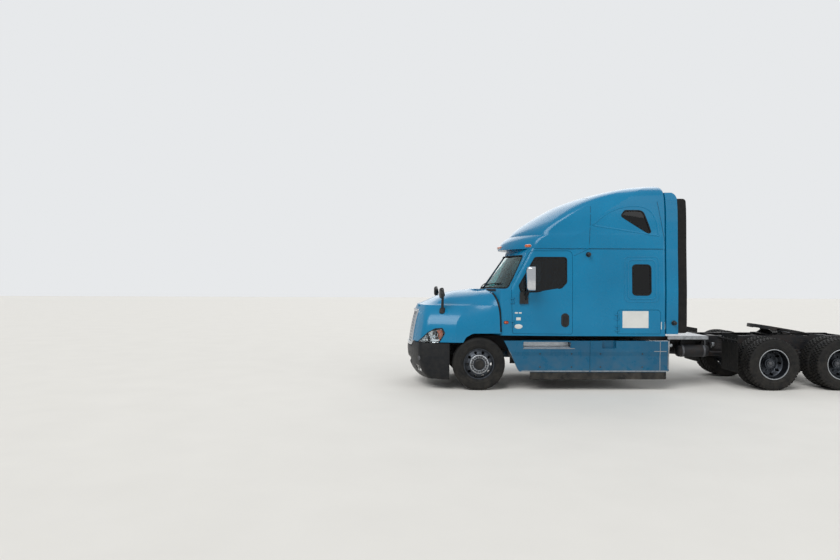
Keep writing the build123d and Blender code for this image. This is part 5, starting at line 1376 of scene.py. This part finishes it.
def build_linings():
    """Door cards with their armrests, pedals and the gear lever."""
    door = Skin("door_left")

    def inside(x, z):
        """Where the door's inner side is at (x, z)."""
        return door.ray((x, -DOOR_INSIDE, z), (0, -1, 0))

    outline = rounded([(-500, -340), (500, -340), (500, 340), (-440, 340)], 40)
    arm = Form().prism(oblong(520, 48, 20), on_surface(inside(1220, 1560)), 4, 72, 14)
    arm.prism(oblong(640, 150, 40), on_surface(inside(1200, 1230)), 4, 40, 10)
    pair("door_cards", Form().raised(inside, outline, (1200, 1450), 6), VINYL, "door_{}")
    pair("door_arms", arm, INTERIOR_DARK, "door_{}")
    pedals = Form()
    for y in (-700, -590, -470):
        pedals.prism(oblong(64, 84, 10), axes((640, y, 1260), (0, -1, 0), (0.5, 0, 0.86)), 0, 12, 3)
        pedals.tube([(645, y, 1268), (600, y, 1330), (560, y, 1440)], 9, 10)
    lever = [(1080, -120, 1100), (1085, -125, 1250), (1120, -150, 1420), (1130, -160, 1520)]
    pedals.tube(smooth(lever, 4), 10, 12)
    pedals.lathe([(12, -24), (24, -16), (28, 4), (22, 22), (8, 28)], facing_up(1131, -161, 1530), 24)
    pedals.lathe([(80, 0), (70, 20), (50, 50), (30, 70)], facing_up(1080, -120, 1097), 28)
    piece("pedals_and_lever", pedals, INTERIOR_DARK)


# Camera, light and floor

# The camera in metres and degrees, the photo in pixels, and the studio
CAMERA_PLACE = Vector((-4.612, -13.73, 2.116))
YAW, PITCH, ROLL = 1.5, -0.15, 0.25
FOCAL_PIXELS = 667
PHOTO_WIDTH = 840
SENSOR = 36
CLIP_END = 200
FLOOR_REACH = 60
FLOOR_SHADES = ("D6D4CF", "DDDBD6")
SKY = "F2F4F6"


def build_camera():
    """The photograph's camera."""
    yaw, pitch, roll = (math.radians(angle) for angle in (YAW, PITCH, ROLL))
    ahead = Vector((math.sin(yaw) * math.cos(pitch), math.cos(yaw) * math.cos(pitch), math.sin(pitch)))
    level = Vector((math.cos(yaw), -math.sin(yaw), 0))
    right = math.cos(roll) * level + math.sin(roll) * level.cross(ahead)
    up = math.cos(roll) * level.cross(ahead) - math.sin(roll) * level
    data = bpy.data.cameras.new("camera")
    data.lens = FOCAL_PIXELS * SENSOR / PHOTO_WIDTH
    data.sensor_width = SENSOR
    data.clip_end = CLIP_END
    camera = placed("camera", data)
    turn = Matrix((right, up, -ahead)).transposed().to_4x4()
    camera.matrix_world = Matrix.Translation(CAMERA_PLACE) @ turn
    bpy.context.scene.camera = camera


def soft_sun(name, place, power, spread):
    """A soft sun that shines from place to the truck's middle."""
    data = bpy.data.lights.new(name, "SUN")
    data.angle = math.radians(spread)
    data.energy = power
    lamp = placed(name, data)
    lamp.location = place
    lamp.rotation_euler = (-Vector(place)).to_track_quat("-Z", "Y").to_euler()


def build_studio():
    """A pale floor, a pale world that the camera and reflections see, and soft lights."""
    mesh = bpy.data.meshes.new("floor")
    corners = [(-1, -1), (1, -1), (1, 1), (-1, 1)]
    mesh.from_pydata([(u * FLOOR_REACH, v * FLOOR_REACH, 0) for u, v in corners], [], [(0, 1, 2, 3)])
    f = Finish("floor_finish")
    mesh.materials.append(f.wear(f.mix(f.noise(1.2, 3), *map(linear, FLOOR_SHADES)), 0.85))
    placed("floor", mesh)

    world = bpy.data.worlds.new("studio")
    bpy.context.scene.world = world
    world.use_nodes = True
    tree = Nodes(world.node_tree)
    rays = tree.nodes.new("ShaderNodeLightPath").outputs
    seen = tree.math("MAXIMUM", rays["Is Camera Ray"], rays["Is Transmission Ray"])
    mirrored = tree.span(rays["Is Glossy Ray"], 0, 1, 0, 0.25)
    background = tree.nodes["Background"].inputs
    tree.feed(background["Strength"], tree.math("ADD", tree.span(seen, 0, 1, 0.4, 0.9), mirrored))
    tree.feed(background["Color"], linear(SKY))

    soft_sun("key", (-7, -10, 12), 2.2, 40)
    soft_sun("fill", (10, -9, 6), 0.7, 60)
    soft_sun("back", (3, 12, 8), 0.9, 60)


for build in (
    build_tyres, build_wheel_trim, build_glazing_trim, build_seams, build_lamps, build_door_trim,
    build_mirrors, build_headlights, build_hood_trim, build_bumper_trim, build_fairing_trim,
    build_tread_plate, build_frame_fittings, build_fenders, build_rear, build_fifth_wheel, build_wipers,
    build_engine_dress, build_seats, build_bed, build_dash, build_steering_trim, build_linings,
    build_camera, build_studio,
):
    build()

bpy.context.scene.view_settings.view_transform = "Standard"
